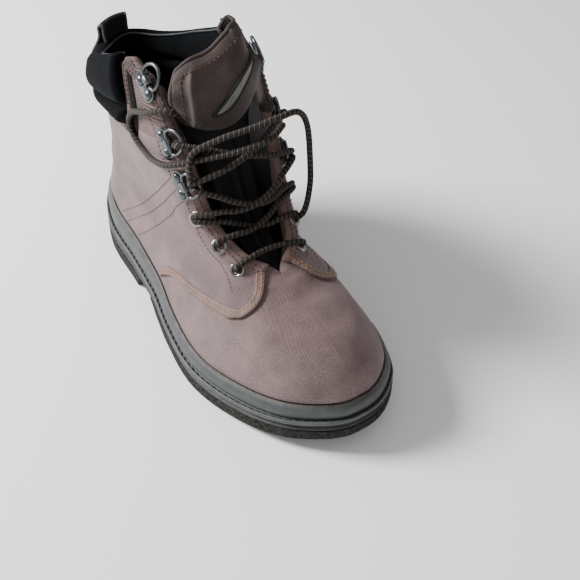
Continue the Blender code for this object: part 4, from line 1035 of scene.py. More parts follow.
def makeRand():
    going = np.linspace(0, 1, 160)
    parts, turns = np.concatenate([going, going[::-1]]), np.repeat((-1.0, 1.0), 160)
    foot, top = sole["randFootInset"], sole["randTopInset"]
    inner = sole["upperInset"] - shaft["fitGap"]
    rows = ((foot, 0.0), (foot - 0.0004, 0.06), (foot - 0.0008, 0.18), (foot - 0.0008, 0.34),
            (foot - 0.0005, 0.50), (foot, 0.66), (foot + 0.0008, 0.80), (top - 0.0012, 0.885),
            (top - 0.0009, 0.91), (top - 0.0006, 0.955), (top - 0.0003, 0.99), (top, 1.0),
            (inner - 0.0002, 0.998), (inner, 0.97), (inner, 0.5), (inner, 0.0))
    rings = [footprint(parts, turns, climb, inset) for inset, climb in rows]
    for i in range(2, 8):
        sway = softWaves(rings[i] * np.array((1, 1, 0.2)), 0.030, 21) * 0.00022
        rings[i][:, 1] += np.sign(rings[i][:, 1]) * sway
    # rows 7 to 10, the rand's rounded top edge, take the painted highlight
    ringPiece("rand_moulded", rings, randRubber, caps=False, bands=[0] * 7 + [1] * 4 + [0] * 5,
              others=[randEdgeHighlight], node="rand", slot="rand_rubber")


makeSole()
makeRand()
print("sole and rand moulded")


# Stitches: one thread's loop, modelled once
def makeStitch():
    clearSelection()
    bpy.ops.mesh.primitive_uv_sphere_add(segments=6, ring_count=5, radius=0.5)
    stitch = bpy.context.active_object
    stitch.name = "stitch"
    inEditMode(bpy.ops.transform.rotate, value=math.pi / 2, orient_axis="Y",
               center_override=(0, 0, 0))
    return stitch


stitch = makeStitch()
stitchShape = np.array([v.co[:] for v in stitch.data.vertices])


def sewnRow(name, points, normals, material, pitch=0.0030, long=0.0022, thick=0.00075,
            node=None, slot=None):
    walked = walkedAlong(points)
    count = max(int(walked[-1] / pitch), 1)
    goal = (np.arange(count) + 0.5) * walked[-1] / count
    spot = interpRows(goal, walked, points)
    ahead = unit(interpRows(goal + 0.0004, walked, points)
                 - interpRows(goal - 0.0004, walked, points))
    up = interpRows(goal, walked, normals)
    up = unit(up - ahead * (up * ahead).sum(1)[:, None])
    side = np.cross(up, ahead)
    clearSelection()
    stitch.select_set(True)
    bpy.context.view_layer.objects.active = stitch
    bpy.ops.object.duplicate()
    row = bpy.context.active_object
    row.name = name
    applyModifier(row, "ARRAY", count=count, use_relative_offset=False,
                  use_constant_offset=True, constant_offset_displace=(2.0, 0.0, 0.0))
    each = len(stitchShape)
    local = np.tile(stitchShape, (count, 1)).reshape(count, each, 3)
    place = (spot[:, None] + local[..., 0:1] * long * ahead[:, None]
             + local[..., 1:2] * thick * side[:, None] + local[..., 2:3] * thick * up[:, None])
    row.data.vertices.foreach_set("co", (place - middle).ravel())
    row.data.update()
    row.data.materials.clear()
    row.data.materials.append(material)
    row.data.shade_smooth()
    return finishPiece(row, node)


def sewnOnBoot(name, place, level, offset, material, **more):
    points = onBoot(place, level, offset)
    return sewnRow(name, points, upperNormal(place, level), material, **more)


def weltStitches():
    parts = np.concatenate([np.linspace(0, 1, 200), np.linspace(1, 0, 200)[1:]])
    turns = np.concatenate([np.full(200, -1.0), np.full(199, 1.0)])
    points = insetPoint(parts, turns, welt["inset"])
    points[:, 2] = soleHeight(points[:, 0], sole["stepHeel"], sole["stepBall"]) + 0.00005
    return sewnRow("welt_stitches", points, np.tile((0.0, 0.0, 1.0), (399, 1)), blackThread,
                   pitch=welt["pitch"], long=welt["long"], thick=welt["thick"],
                   slot="rand_rubber")


weltStitches()


# Upper: vamp and shaft in one, laid over the last
tabArch = {"from": 0.91, "wide": 0.050, "ribbed": 0.872}


def tabTop(place):
    # how high the canvas reaches under the tab's rounded top
    first = tabEdge(np.array(1.0))
    k = np.clip((np.abs(place) - first) / tabArch["wide"], 0.0, 1.0)
    top = tabArch["from"] + (1.0 - tabArch["from"]) * np.sqrt(1.0 - (1.0 - k) ** 2)
    return np.where(np.abs(place) < first - 0.012, 1.0, top - 0.002)


def makeUpper():
    levels = np.concatenate([np.linspace(-1, 0, 5), np.linspace(0, 0.44, 56)[1:],
                             np.linspace(0.44, 0.50, 13)[1:], np.linspace(0.50, 0.93, 48)[1:],
                             np.linspace(0.93, 1.0, 15)[1:]])
    places = np.linspace(1, -1, 241)
    place, level = np.meshgrid(places, levels)
    high = np.clip((level - 0.80) / 0.20, 0.0, 1.0)
    level = np.where(level > 0.80, 0.80 + high * (tabTop(place) - 0.80), level)
    upperSheet("upper_canvas", place, level, 0.0, coatedCanvas, thick=shaft["wall"],
               inner=liningCloth, node="upper", slot="upper_canvas")


def tabEdge(level):
    # the tab's rear edge, straight
    k = (level - shaft["collarFoot"]) / (1.0 - shaft["collarFoot"])
    share = shaft["tabRearLow"] + (shaft["tabRearTop"] - shaft["tabRearLow"]) * k
    return np.arccos(1.0 - np.clip(share, 0.0, 1.0)) * 2.0 / np.pi


def rearEdge(level):
    # heel seam low down; above the collar's foot the tab's rear edge, rounded to its top
    k = np.clip((level - tabArch["from"]) / (1.0 - tabArch["from"]), 0.0, 1.0)
    arch = tabArch["wide"] * (1.0 - np.sqrt(1.0 - k * k))
    return np.where(level < shaft["collarFoot"], 0.0015, tabEdge(level) + arch)


def makeQuarter(side):
    word = sideWords[side]
    levels = np.concatenate([np.linspace(shaft["quarterFoot"], 0.44, 44),
                             np.linspace(0.44, 0.50, 11)[1:],
                             np.linspace(0.50, 0.85, 36)[1:],
                             np.linspace(0.85, 1.0, 27)[1:]])
    last = np.minimum(quarterReach(levels), 1.0)
    # columns from the heel seam to the line under the tab's rear edge, then on to the front
    split = np.where(levels > 0.85, rearEdge(levels), np.minimum(tabEdge(0.85), last * 0.75))
    rear, front = np.linspace(0, 1, 66)[None, :], np.linspace(0, 1, 56)[None, 1:]
    place = np.concatenate([0.0015 + (split[:, None] - 0.0015) * rear,
                            split[:, None] + (last - split)[:, None] * front], axis=1)
    place = side * place
    level = np.broadcast_to(levels[:, None], place.shape)
    drop = (level > 0.8499) & (np.arange(place.shape[1])[None, :] < 65)
    if side > 0:
        place = place[:, ::-1]
        drop = np.roll(drop[:, ::-1], -1, axis=1)
    upperSheet(f"quarter_{word}_canvas", place, level, quarterFace, quarterCanvas,
               thick=shaft["quarterThick"], node=f"quarter_{word}", slot="quarter_canvas",
               others=[ribbedCanvas], drop=drop,
               bands=[int(v > tabArch["ribbed"]) for v in levels])


makeUpper()
for side in sideWords:
    makeQuarter(side)
print("upper and quarters laid")


# Bindings and seams of the upper
fineSeam = dict(pitch=0.0026, long=0.0019, thick=0.0006, slot="quarter_canvas")
binding = dict(width=0.0064, thick=0.0008, lowerWidth=0.0058, stripWidth=0.0085,
               brownFrom=0.150)


def tapeOnBoot(name, place, level, width, base, thick, material, fold=0, **more):
    # fold: -1 or 1 wraps the tape's right or left edge round the cloth's edge
    flat = [(-1.0, base - 0.0004), (-0.98, base + thick * 0.6), (-0.88, base + thick * 0.95),
            (-0.5, base + thick * 1.05), (0.0, base + thick * 1.1), (0.5, base + thick * 1.05)]
    if fold:
        flat += [(0.85, base + thick), (1.02, base + thick * 0.45), (1.10, base - 0.0008),
                 (1.08, -0.0022), (0.98, -0.0034), (0.7, -0.0038), (0.3, -0.0036),
                 (0.2, -0.0014), (-0.8, base - 0.0012)]
    else:
        flat += [(0.88, base + thick * 0.95), (0.98, base + thick * 0.6), (1.0, base - 0.0004),
                 (0.0, base - 0.0008)]
    flat.append(flat[0])
    rows = []
    for across, rise in flat:
        a, b = besideRoute(place, level, across * width / 2 * (fold or 1))
        rows.append(onBoot(a, b, rise))
    rows = np.array(rows)
    # ends drawn together, so the tape is closed
    for end in (0, -1):
        rows[:, end] = rows[:, end].mean(0)
    length = np.linalg.norm(np.diff(rows[4], axis=0), axis=1).sum()
    return gridPiece(name, rows, material, closed=True, uvSize=(length, width * 2.2), **more)


def makeSeams(side):
    word = sideWords[side]
    slot = dict(slot="quarter_canvas")

    def route(points, spacing=0.0014):
        place, level = evenRoute(points, spacing)
        return side * place, level

    # brown binding up the facing edge, round the tab's top and down its rear edge
    levels = np.linspace(0.9985, 0.858, 14)
    outline = ([(0.999, v) for v in (0.485, 0.53, 0.60, 0.68, 0.76, 0.84, 0.90, 0.945)]
               + [(0.997, 0.972), (0.988, 0.992), (0.972, 0.9995)]
               + list(zip(rearEdge(levels), levels)))
    place, level = route(outline, 0.0011)
    place, level = besideRoute(place, level, -side * binding["width"] * 0.46)
    wholePlace, wholeLevel = place, np.minimum(level, 0.99)
    tape = tapeOnBoot(f"binding_{word}_tab", wholePlace, wholeLevel, binding["width"], quarterFace,
                      binding["thick"], boundLeather, fold=side, others=[tanLeather], **slot)
    # below the tab the facing's fold has the canvas's colour
    tape.data.polygons.foreach_set("material_index", [
        int(p.center.z < binding["brownFrom"]) for p in tape.data.polygons])
    rise = quarterFace + binding["thick"] * 1.1 + 0.0001
    for number, shift in enumerate((-0.0012, 0.0017)):
        a, b = besideRoute(wholePlace, wholeLevel, side * -shift)
        sewnOnBoot(f"stitches_{word}_tab_{number}", a[2:-2], b[2:-2], rise, redThread, **slot)
    # ribbed tape inside the rear binding
    levels = np.linspace(0.985, 0.853, 14)
    a, b = route(list(zip(tabEdge(levels), levels)))
    a, b = besideRoute(a, b, -side * (binding["width"] + binding["stripWidth"] * 0.45))
    tapeOnBoot(f"strip_{word}_tab", a, b, binding["stripWidth"], quarterFace, 0.0006,
               ribbedTape, **slot)
    # tan binding along the quarter's lower edge
    levels = np.concatenate([[0.097], np.linspace(0.12, 0.48, 30)])
    reach = quarterReach(levels)
    a, b = route(list(zip(np.minimum(reach, 0.998), levels)))
    a, b = besideRoute(a, b, -side * binding["lowerWidth"] * 0.45)
    tapeOnBoot(f"binding_{word}_lower", a, b, binding["lowerWidth"], quarterFace,
               binding["thick"] * 0.7, tanLeather, **slot)
    for number, shift in enumerate((-0.0013, 0.0014)):
        c, d = besideRoute(a, b, shift)
        sewnOnBoot(f"stitches_{word}_lower_{number}", c, d, quarterFace + binding["thick"] * 0.8,
                   tanThread, **slot)
    # three slanting seams, straight in the side view and so given as x and z
    for name, first, last in (("rear", (0.172, 0.134), (0.062, 0.030)),
                              ("middle", (0.175, 0.126), (0.079, 0.034)),
                              ("front", (0.180, 0.121), (0.094, 0.030))):
        share = np.linspace(0, 1, 120)
        x = first[0] + (last[0] - first[0]) * share
        z = first[1] + (last[1] - first[1]) * share - 0.004 * np.sin(share * np.pi)
        a, b = placesFromSide(side, x, z)
        kept = (b > 0.10) & (np.abs(a) < 0.992)
        sewnOnBoot(f"stitches_{word}_{name}", a[kept], b[kept], quarterFace + 0.00015, redThread,
                   **fineSeam)
    seams = (
        ("facing", ((0.972, 0.710), (0.968, 0.640), (0.953, 0.560), (0.930, 0.480),
                    (0.922, 0.430), (0.905, 0.385))),
        ("tab", ((0.933, 0.930), (0.942, 0.890), (0.938, 0.840), (0.945, 0.790),
                 (0.955, 0.755))),
    )
    for name, points in seams:
        a, b = route(points)
        sewnOnBoot(f"stitches_{word}_{name}", a, b, quarterFace + 0.00015, redThread, **fineSeam)


def makeCollarFoot():
    place, level = evenRoute([(p, 0.8415) for p in np.linspace(-0.722, 0.722, 31)], 0.0015)
    tapeOnBoot("binding_collar_foot", place, level, binding["width"], quarterFace,
               binding["thick"], boundLeather, slot="quarter_canvas")
    for number, shift in enumerate((-0.0018, 0.0016)):
        a, b = besideRoute(place, level, shift)
        sewnOnBoot(f"stitches_collar_foot_{number}", a, b, quarterFace + binding["thick"] * 1.1,
                   redThread, slot="quarter_canvas")
    for side in sideWords:
        a, b = evenRoute([(side * 0.030, v) for v in np.linspace(0.12, 0.82, 12)], 0.0015)
        sewnOnBoot(f"stitches_heel_{sideWords[side]}", a, b, quarterFace + 0.00015, redThread,
                   **fineSeam)


for side in sideWords:
    makeSeams(side)
makeCollarFoot()
print("bindings sewn")

# Collar: two padded rolls outside, two inside, sewn at the crease between them
collarShape = dict(columns=200, tuck=0.035, swell=0.0006, pipeRadius=0.0008)
collarProfile = (
    # height share, outer offset, outer lift, inner offset, inner lift
    (0.00, 0.0010, 0.0, 0.0005, 0.0), (0.04, 0.0040, 0.0, 0.0005, 0.0),
    (0.12, 0.0068, 0.0, 0.0005, 0.0), (0.24, 0.0080, 0.0, 0.0005, 0.0),
    (0.36, 0.0066, 0.0, 0.0005, 0.0), (0.43, 0.0036, 0.0, 0.0005, 0.0),
    (0.46, 0.0020, 0.0, 0.0005, 0.0), (0.49, 0.0036, 0.0, 0.0005, 0.0),
    (0.56, 0.0068, 0.0, 0.0005, 0.0), (0.68, 0.0086, 0.0, 0.0005, 0.0),
    (0.82, 0.0084, 0.0004, 0.0005, 0.0), (0.94, 0.0064, 0.0024, 0.0005, 0.0),
    (1.00, 0.0044, 0.0052, 0.0005, 0.0004), (1.00, 0.0012, 0.0070, 0.0003, 0.0006),
    (1.00, -0.0022, 0.0072, -0.0010, 0.0007), (1.00, -0.0054, 0.0052, -0.0024, 0.0006),
    (1.00, -0.0070, 0.0026, -0.0027, 0.0004), (0.96, -0.0084, 0.0008, -0.0027, 0.0),
    (0.86, -0.0094, 0.0, -0.0027, 0.0), (0.72, -0.0094, 0.0, -0.0027, 0.0),
    (0.58, -0.0074, 0.0, -0.0027, 0.0), (0.52, -0.0046, 0.0, -0.0027, 0.0),
    (0.49, -0.0040, 0.0, -0.0027, 0.0), (0.46, -0.0050, 0.0, -0.0027, 0.0),
    (0.36, -0.0082, 0.0, -0.0027, 0.0), (0.22, -0.0090, 0.0, -0.0027, 0.0),
    (0.08, -0.0066, 0.0, -0.0027, 0.0), (0.00, -0.0036, 0.0, -0.0027, 0.0),
)


def collarGrid(shares):
    fine = throughPoints(np.array(collarProfile), np.linspace(0, len(collarProfile) - 1, 110))
    foot = shaft["collarFoot"] + 0.004
    level = foot + (1.0 - foot) * np.clip(fine[:, 0], 0, 1)
    reach = tabEdge(level) - 0.001
    place = reach[:, None] * shares[None, :]
    levels = np.broadcast_to(level[:, None], place.shape)
    taper = rounding(1 - np.abs(shares), collarShape["tuck"], 2.0)[None, :]
    outer = fine[:, 3:4] + (fine[:, 1:2] - fine[:, 3:4]) * taper
    lift = fine[:, 4:5] + (fine[:, 2:3] - fine[:, 4:5]) * taper
    shape = place.shape
    base = upperPoint(place.ravel(), levels.ravel())
    normal = upperNormal(place.ravel(), levels.ravel())
    swell = (collarShape["swell"] * softWaves(base, 0.034, 5)
             + 0.00025 * softWaves(base, 0.011, 9)).reshape(shape)
    puff = np.abs(outer - fine[:, 3:4]) / 0.008
    move = outer + np.sign(outer - fine[:, 3:4]) * swell * puff
    up = np.array((0.0, 0.0, 1.0))
    far = base + normal * move.reshape(-1, 1) + up * (lift + swell * puff * 0.5).reshape(-1, 1)
    near = (base + normal * np.broadcast_to(fine[:, 3:4], shape).reshape(-1, 1)
            + up * np.broadcast_to(fine[:, 4:5], shape).reshape(-1, 1))
    return far.reshape(shape + (3,)), near.reshape(shape + (3,))


def makeCollar():
    shares = np.sin(np.linspace(-np.pi / 2, np.pi / 2, collarShape["columns"] + 1))
    shares = shares * 0.35 + np.linspace(-1, 1, collarShape["columns"] + 1) * 0.65
    far, near = collarGrid(shares)
    rows = np.concatenate([far, near[::-1], far[:1]])
    piece = gridPiece("collar_padding", rows, collarKnit, closed=True, node="collar",
                      slot="collar_knit", merge=1e-5)
    # piping sewn just inside the rim
    row = int(round(15.2 / (len(collarProfile) - 1) * 109))
    line = far[row, 6:-6] + np.array((0, 0, collarShape["pipeRadius"] * 0.7))
    tubePiece("collar_piping", line[::2], collarShape["pipeRadius"], pipingCord, sides=8,
              slot="collar_knit")


makeCollar()
print("collar padded")

# Pull loop: a folded strip of webbing
loopShape = dict(thick=0.0018, rise=0.0145, left=-0.265, right=0.045, over=0.0076, roll=0.0045)


def makePullLoop():
    clear = loopShape["over"] + loopShape["thick"]
    roll, rise = loopShape["roll"], loopShape["rise"]
    path = ((0.950, clear, 0.0), (0.975, clear, 0.0), (1.000, clear - 0.0010, 0.0015),
            (1.000, 0.0044, roll + 0.0030), (1.000, 0.0024, roll + rise * 0.55),
            (1.000, 0.0025, roll + rise * 0.86), (1.000, 0.0020, roll + rise * 0.97),
            (1.000, 0.0008, roll + rise), (1.000, -0.0005, roll + rise * 0.96),
            (1.000, -0.0010, roll + rise * 0.84), (1.000, -0.0010, roll + rise * 0.50),
            (1.000, -0.0022, roll + 0.0010))
    fine = throughPoints(np.array(path), np.linspace(0, len(path) - 1, 90))
    half = loopShape["thick"] / 2
    width = np.concatenate([[0.0, 0.0, 0.004, 0.02, 0.06, 0.065], np.linspace(0.09, 0.91, 14),
                            [0.935, 0.94, 0.98, 0.996, 1.0, 1.0]])
    depth = np.concatenate([[0.0, 0.5, 0.85, 1.0, 1.0, 0.94], np.full(14, 0.94),
                            [0.94, 1.0, 1.0, 0.85, 0.5, 0.0]])
    places = loopShape["left"] + (loopShape["right"] - loopShape["left"]) * width
    place, level = np.meshgrid(places, np.minimum(fine[:, 0], 1.0), indexing="ij")
    shape = place.shape + (3,)
    grid = (upperPoint(place, level) + upperNormal(place, level)
            * np.tile(fine[:, 1], len(places))[:, None]).reshape(shape)
    grid[..., 2] += fine[:, 2]
    run = np.gradient(grid, axis=1)
    across = np.gradient(grid, axis=0) + 1e-9
    across[0], across[1], across[-1], across[-2] = across[3], across[3], across[-4], across[-4]
    normal = unit(np.cross(run, across))
    top = grid + normal * (half * depth)[:, None, None]
    bottom = grid - normal * (half * depth)[:, None, None]
    rows = np.concatenate([top, bottom[::-1], top[:1]])
    count = len(places)
    for end in (0, -1):
        rows[:, end] = (rows[:, end] + np.concatenate([grid[:, end], grid[::-1, end],
                                                       grid[:1, end]]) * 3) / 4
    bands = [int(not 5 <= i % count <= count - 7) for i in range(2 * count)]
    gridPiece("pull_loop_webbing", rows, blackWebbing, closed=True, bands=bands,
              others=[paleWebbing], node="pull_loop", slot="webbing")


makePullLoop()
print("pull loop sewn")

# Tongue
tongueTable = (
    # along, x, z, half, back, lift, twist
    (0.00, 0.752, 0.350, 0.14, 0.03, 0.00, 0.00), (0.10, 0.706, 0.382, 0.17, 0.05, 0.00, 0.00),
    (0.20, 0.652, 0.415, 0.21, 0.08, 0.00, 0.00), (0.30, 0.600, 0.475, 0.27, 0.13, 0.00, 0.00),
    (0.40, 0.560, 0.570, 0.31, 0.15, 0.00, 0.00), (0.50, 0.534, 0.665, 0.35, 0.13, 0.00, 0.00),
    (0.56, 0.518, 0.715, 0.38, 0.10, 0.02, 0.00), (0.62, 0.536, 0.738, 0.41, 0.14, 0.05, 0.00),
    (0.68, 0.556, 0.765, 0.43, 0.20, 0.06, 0.00), (0.75, 0.562, 0.815, 0.46, 0.20, 0.04, 0.01),
    (0.82, 0.555, 0.880, 0.47, 0.15, 0.01, 0.025), (0.89, 0.541, 0.940, 0.46, 0.10, -0.02, 0.040),
    (0.95, 0.525, 0.985, 0.43, 0.06, -0.04, 0.045), (1.00, 0.509, 1.010, 0.37, 0.04, -0.04, 0.045),
)
tongueShape = dict(thick=0.0055, height=0.203, sway=-0.0035, rollFrom=0.45, rollRadius=0.0085,
                   rollMore=0.9, dip=0.007, curlLift=0.011, flapFrom=0.60)
tongueCurves = [curveOf(tongueTable, column, scale) for column, scale in (
    (1, sole["length"]), (2, tongueShape["height"]), (3, shaft["facingGap"]),
    (4, shaft["facingGap"]), (5, tongueShape["height"]), (6, tongueShape["height"]))]


def tonguePlain(across, along):
    x, z, half, back, lift, twist = (curve(along) for curve in tongueCurves)
    sway = tongueShape["sway"] * smoothStep(along * 2 - 0.6)
    return np.stack([x - back * across**2, sway + across * half,
                     z + lift * across**2 + twist * across], -1)


def faceNormal(surface, across, along, step):
    run = surface(across + step, along) - surface(across - step, along)
    rise = (surface(across, np.minimum(along + step, 1.0))
            - surface(across, np.maximum(along - step, 0.0)))
    return unit(np.cross(run, rise))


def tonguePoint(across, along):
    # the flap dips in its middle and its inner corner rolls back
    flat = tonguePlain(across, along)
    dip = tongueShape["dip"] * smoothStep((along - 0.80) / 0.20)
    flat[..., 2] -= dip * np.exp(-(((across + 0.10) / 0.50) ** 2))
    blend = smoothStep((along - 0.80) / 0.14)
    start = tongueShape["rollFrom"]
    pivot = tonguePlain(start, along)
    ahead = tonguePlain(start + 0.01, along) - tonguePlain(start - 0.01, along)
    size = np.linalg.norm(ahead, axis=-1)[..., None]
    ahead = ahead / size
    inward = -faceNormal(tonguePlain, start, along, 0.01)
    reach = np.maximum(across - start, 0.0) * size[..., 0] / 0.02
    turn = reach * (1 + tongueShape["rollMore"] * blend) / tongueShape["rollRadius"]
    rolled = (pivot + ahead * (tongueShape["rollRadius"] * np.sin(turn))[..., None]
              + inward * (tongueShape["rollRadius"] * (1 - np.cos(turn)))[..., None])
    rolled[..., 2] += tongueShape["curlLift"] * blend * (1 - np.cos(np.minimum(turn, np.pi))) / 2
    share = (blend * (across > start))[..., None]
    return flat + (rolled - flat) * share


def tongueFolds(across, along):
    lower = smoothStep((along - 0.12) / 0.1) * (1 - smoothStep((along - 0.50) / 0.07))
    fold = 0.0020 * np.cos((across - 0.15 * along) * 9.5) * lower
    ridge = np.exp(-(((across + 0.62 - 0.5 * np.maximum(along - 0.86, 0)
                       + 1.1 * np.maximum(0.70 - along, 0)) / 0.07) ** 2))
    flap = smoothStep((along - 0.62) / 0.06) * (1 - smoothStep((along - 0.90) / 0.06))
    hollow = np.exp(-(((across + 0.20) / 0.30) ** 2))
    return fold + flap * (0.0036 * ridge - 0.0018 * hollow)


def tongueNormal(across, along):
    return faceNormal(tonguePoint, across, along, 0.008)


def tongueFace(across, along, rise):
    across, along = np.broadcast_arrays(np.asarray(across, float), np.asarray(along, float))
    thick = tongueShape["thick"] * (0.45 + 0.55 * (1 - across**4)) * (0.6 + 0.4
                                                                      * np.minimum(along * 4, 1))
    edge = rounding(1 - np.abs(across), 0.07, 2.0) * rounding(1 - along, 0.02, 2.0)
    normal = tongueNormal(across, along)
    sunk = -thick / 2 * (1 - edge) + tongueFolds(across, along) * edge
    return tonguePoint(across, along) + normal * (sunk + rise)[..., None], normal, thick, edge


def makeTongue():
    along = np.concatenate([np.linspace(0, 0.94, 130), np.linspace(0.94, 1.0, 22)[1:]])
    across = np.sin(np.linspace(-np.pi / 2, np.pi / 2, 91))
    a, b = np.meshgrid(across, along)
    frontFace, normal, thick, edge = tongueFace(a, b, 0.0)
    backFace = tonguePoint(a, b) - normal * (thick / 2 * (1 + edge))[..., None]
    rows = np.concatenate([frontFace, backFace[:, ::-1][:, 1:]], axis=1)
    rows = np.concatenate([rows, frontFace[:, :1]], axis=1)
    # sewn end closed by a last row drawn together across its thickness
    middleLine = (frontFace[0] + backFace[0]) / 2
    closing = np.concatenate([middleLine, middleLine[::-1][1:], middleLine[:1]])[None]
    rows = np.concatenate([closing, rows])
    piece = gridPiece("tongue_padding", rows, tongueNylon, closed=True, merge=1e-5,
                      others=[liningCloth, tongueShadeBelowFlap], node="tongue", slot="tongue_canvas")
    liningOrShade = np.zeros(len(piece.data.polygons), int)
    centres = np.array([p.center[:] for p in piece.data.polygons]) + middle
    normals = np.array([p.normal[:] for p in piece.data.polygons])
    spots = ((frontFace + backFace) / 2).reshape(-1, 3)
    outward = normal.reshape(-1, 3)
    tree = KDTree(len(spots))
    for i, spot in enumerate(spots):
        tree.insert(spot, i)
    tree.balance()
    for i, (centre, facing) in enumerate(zip(centres, normals)):
        nearest = tree.find(centre)[1]
        # faces below the flap take the near-black painted shade under the flap
        below = b.ravel()[nearest] < tongueShape["flapFrom"]
        liningOrShade[i] = 1 if outward[nearest].dot(facing) < -0.25 else 2 if below else 0
    piece.data.polygons.foreach_set("material_index", liningOrShade)
    # rolled edge round the flap
    turn = np.concatenate([np.stack([np.full(40, -1.0), np.linspace(0.60, 0.965, 40)], -1),
                           np.stack([np.linspace(-0.97, 0.97, 80), np.full(80, 1.0)], -1),
                           np.stack([np.full(40, 1.0), np.linspace(0.965, 0.60, 40)], -1)])
    edgeLine = tonguePoint(turn[:, 0], turn[:, 1])
    edgeLine -= tongueNormal(turn[:, 0], turn[:, 1]) * 0.0012
    tubePiece("tongue_edge", smoothRoute(list(edgeLine[::4]), 0.0015), 0.0014, boundLeather,
              sides=10, slot="tongue_canvas")
    inset = np.concatenate([np.stack([np.full(30, -0.80), np.linspace(0.66, 0.925, 30)], -1),
                            np.stack([np.linspace(-0.77, 0.90, 60), np.full(60, 0.945)], -1)])
    line = throughPoints(inset[::6], np.linspace(0, len(inset[::6]) - 1, 300))
    spots, normal, _, _ = tongueFace(line[:, 0], line[:, 1], 0.0002)
    sewnRow("stitches_tongue", spots, normal, redThread, slot="tongue_canvas")


makeTongue()

# Patch on the flap, plain
patchShape = dict(across=0.25, along=0.80, long=0.62, wide=0.085, run=0.93, rise=0.37,
                  clear=0.0006, thick=0.0010)


def makePatch():
    radii = np.array((0.0, 0.15, 0.30, 0.42, 0.50, 0.54, 0.60, 0.80, 0.97, 1.0, 1.0))
    rises = np.array((0.8, 0.8, 0.8, 0.8, 0.8, 0.7, 1.30, 1.4, 1.1, 0.6, -0.4))
    turns = np.linspace(0, 2 * np.pi, 73)
    r, t = np.meshgrid(radii, turns, indexing="ij")
    a = np.cos(t) * r ** 0.35 * patchShape["long"]
    b = np.sin(t) * r * patchShape["wide"]
    across = patchShape["across"] + a * patchShape["run"] - b * patchShape["rise"]
    along = patchShape["along"] + (a * patchShape["rise"] + b * patchShape["run"]) * 0.28
    high = patchShape["clear"] + patchShape["thick"] * rises[:, None]
    spots, _, _, _ = tongueFace(across, along, high)
    low, _, _, _ = tongueFace(across[::-1], along[::-1], -0.0004)
    rows = np.concatenate([spots, low])
    uv = np.stack([np.concatenate([a, a[::-1]]) * 0.03, np.concatenate([b, b[::-1]]) * 0.08], -1)
    gridPiece("tongue_patch_cloth", rows, patchCloth, closed=True, uv=uv,
              bands=[0] * 5 + [1] * 5 + [0] * 12, others=[patchEdge], node="tongue_patch",
              slot="woven_patch")


makePatch()
print("tongue and patch sewn")


# Metal
def joinInto(main, parts):
    clearSelection()
    for part in [*parts, main]:
        part.select_set(True)
    bpy.context.view_layer.objects.active = main
    bpy.ops.object.transform_apply(location=True, rotation=True, scale=True)
    bpy.ops.object.join()


def setInSeat(obj, material, matrix, node):
    obj.data.materials.clear()
    obj.data.materials.append(material)
    obj.data.transform(matrix)
    obj.matrix_world = Matrix.Identity(4)
    finishPiece(obj, node)


def makeEyelet(word, name, seat):
    f = fastening
    hole, outer = f["eyeletHole"] / 2, f["eyeletOut"] / 2
    rim = (outer - hole) / 2
    clearSelection()
    bpy.ops.mesh.primitive_torus_add(major_radius=hole + rim, minor_radius=rim,
                                     major_segments=40, minor_segments=14)
    rolled = bpy.context.active_object
    rolled.name = f"eyelet_{word}_{name}_rolled"
    inEditMode(bpy.ops.transform.resize, value=(1, 1, f["eyeletFlat"]),
               center_override=(0, 0, 0))
    bpy.ops.mesh.primitive_cylinder_add(vertices=40, radius=hole + f["eyeletWall"],
                                        depth=f["barrelDeep"], end_fill_type="NOTHING",
                                        location=(0, 0, -f["barrelLow"]))
    barrel = bpy.context.active_object
    applyModifier(barrel, "SOLIDIFY", thickness=f["eyeletWall"], offset=-1.0)
    joinInto(rolled, [barrel])
    bpy.ops.object.shade_smooth()
    setInSeat(rolled, nickelEyelet, seatMatrix(seat, 0.0, 0.0, quarterFace + 0.0004),
              f"eyelet_{word}_{name}")


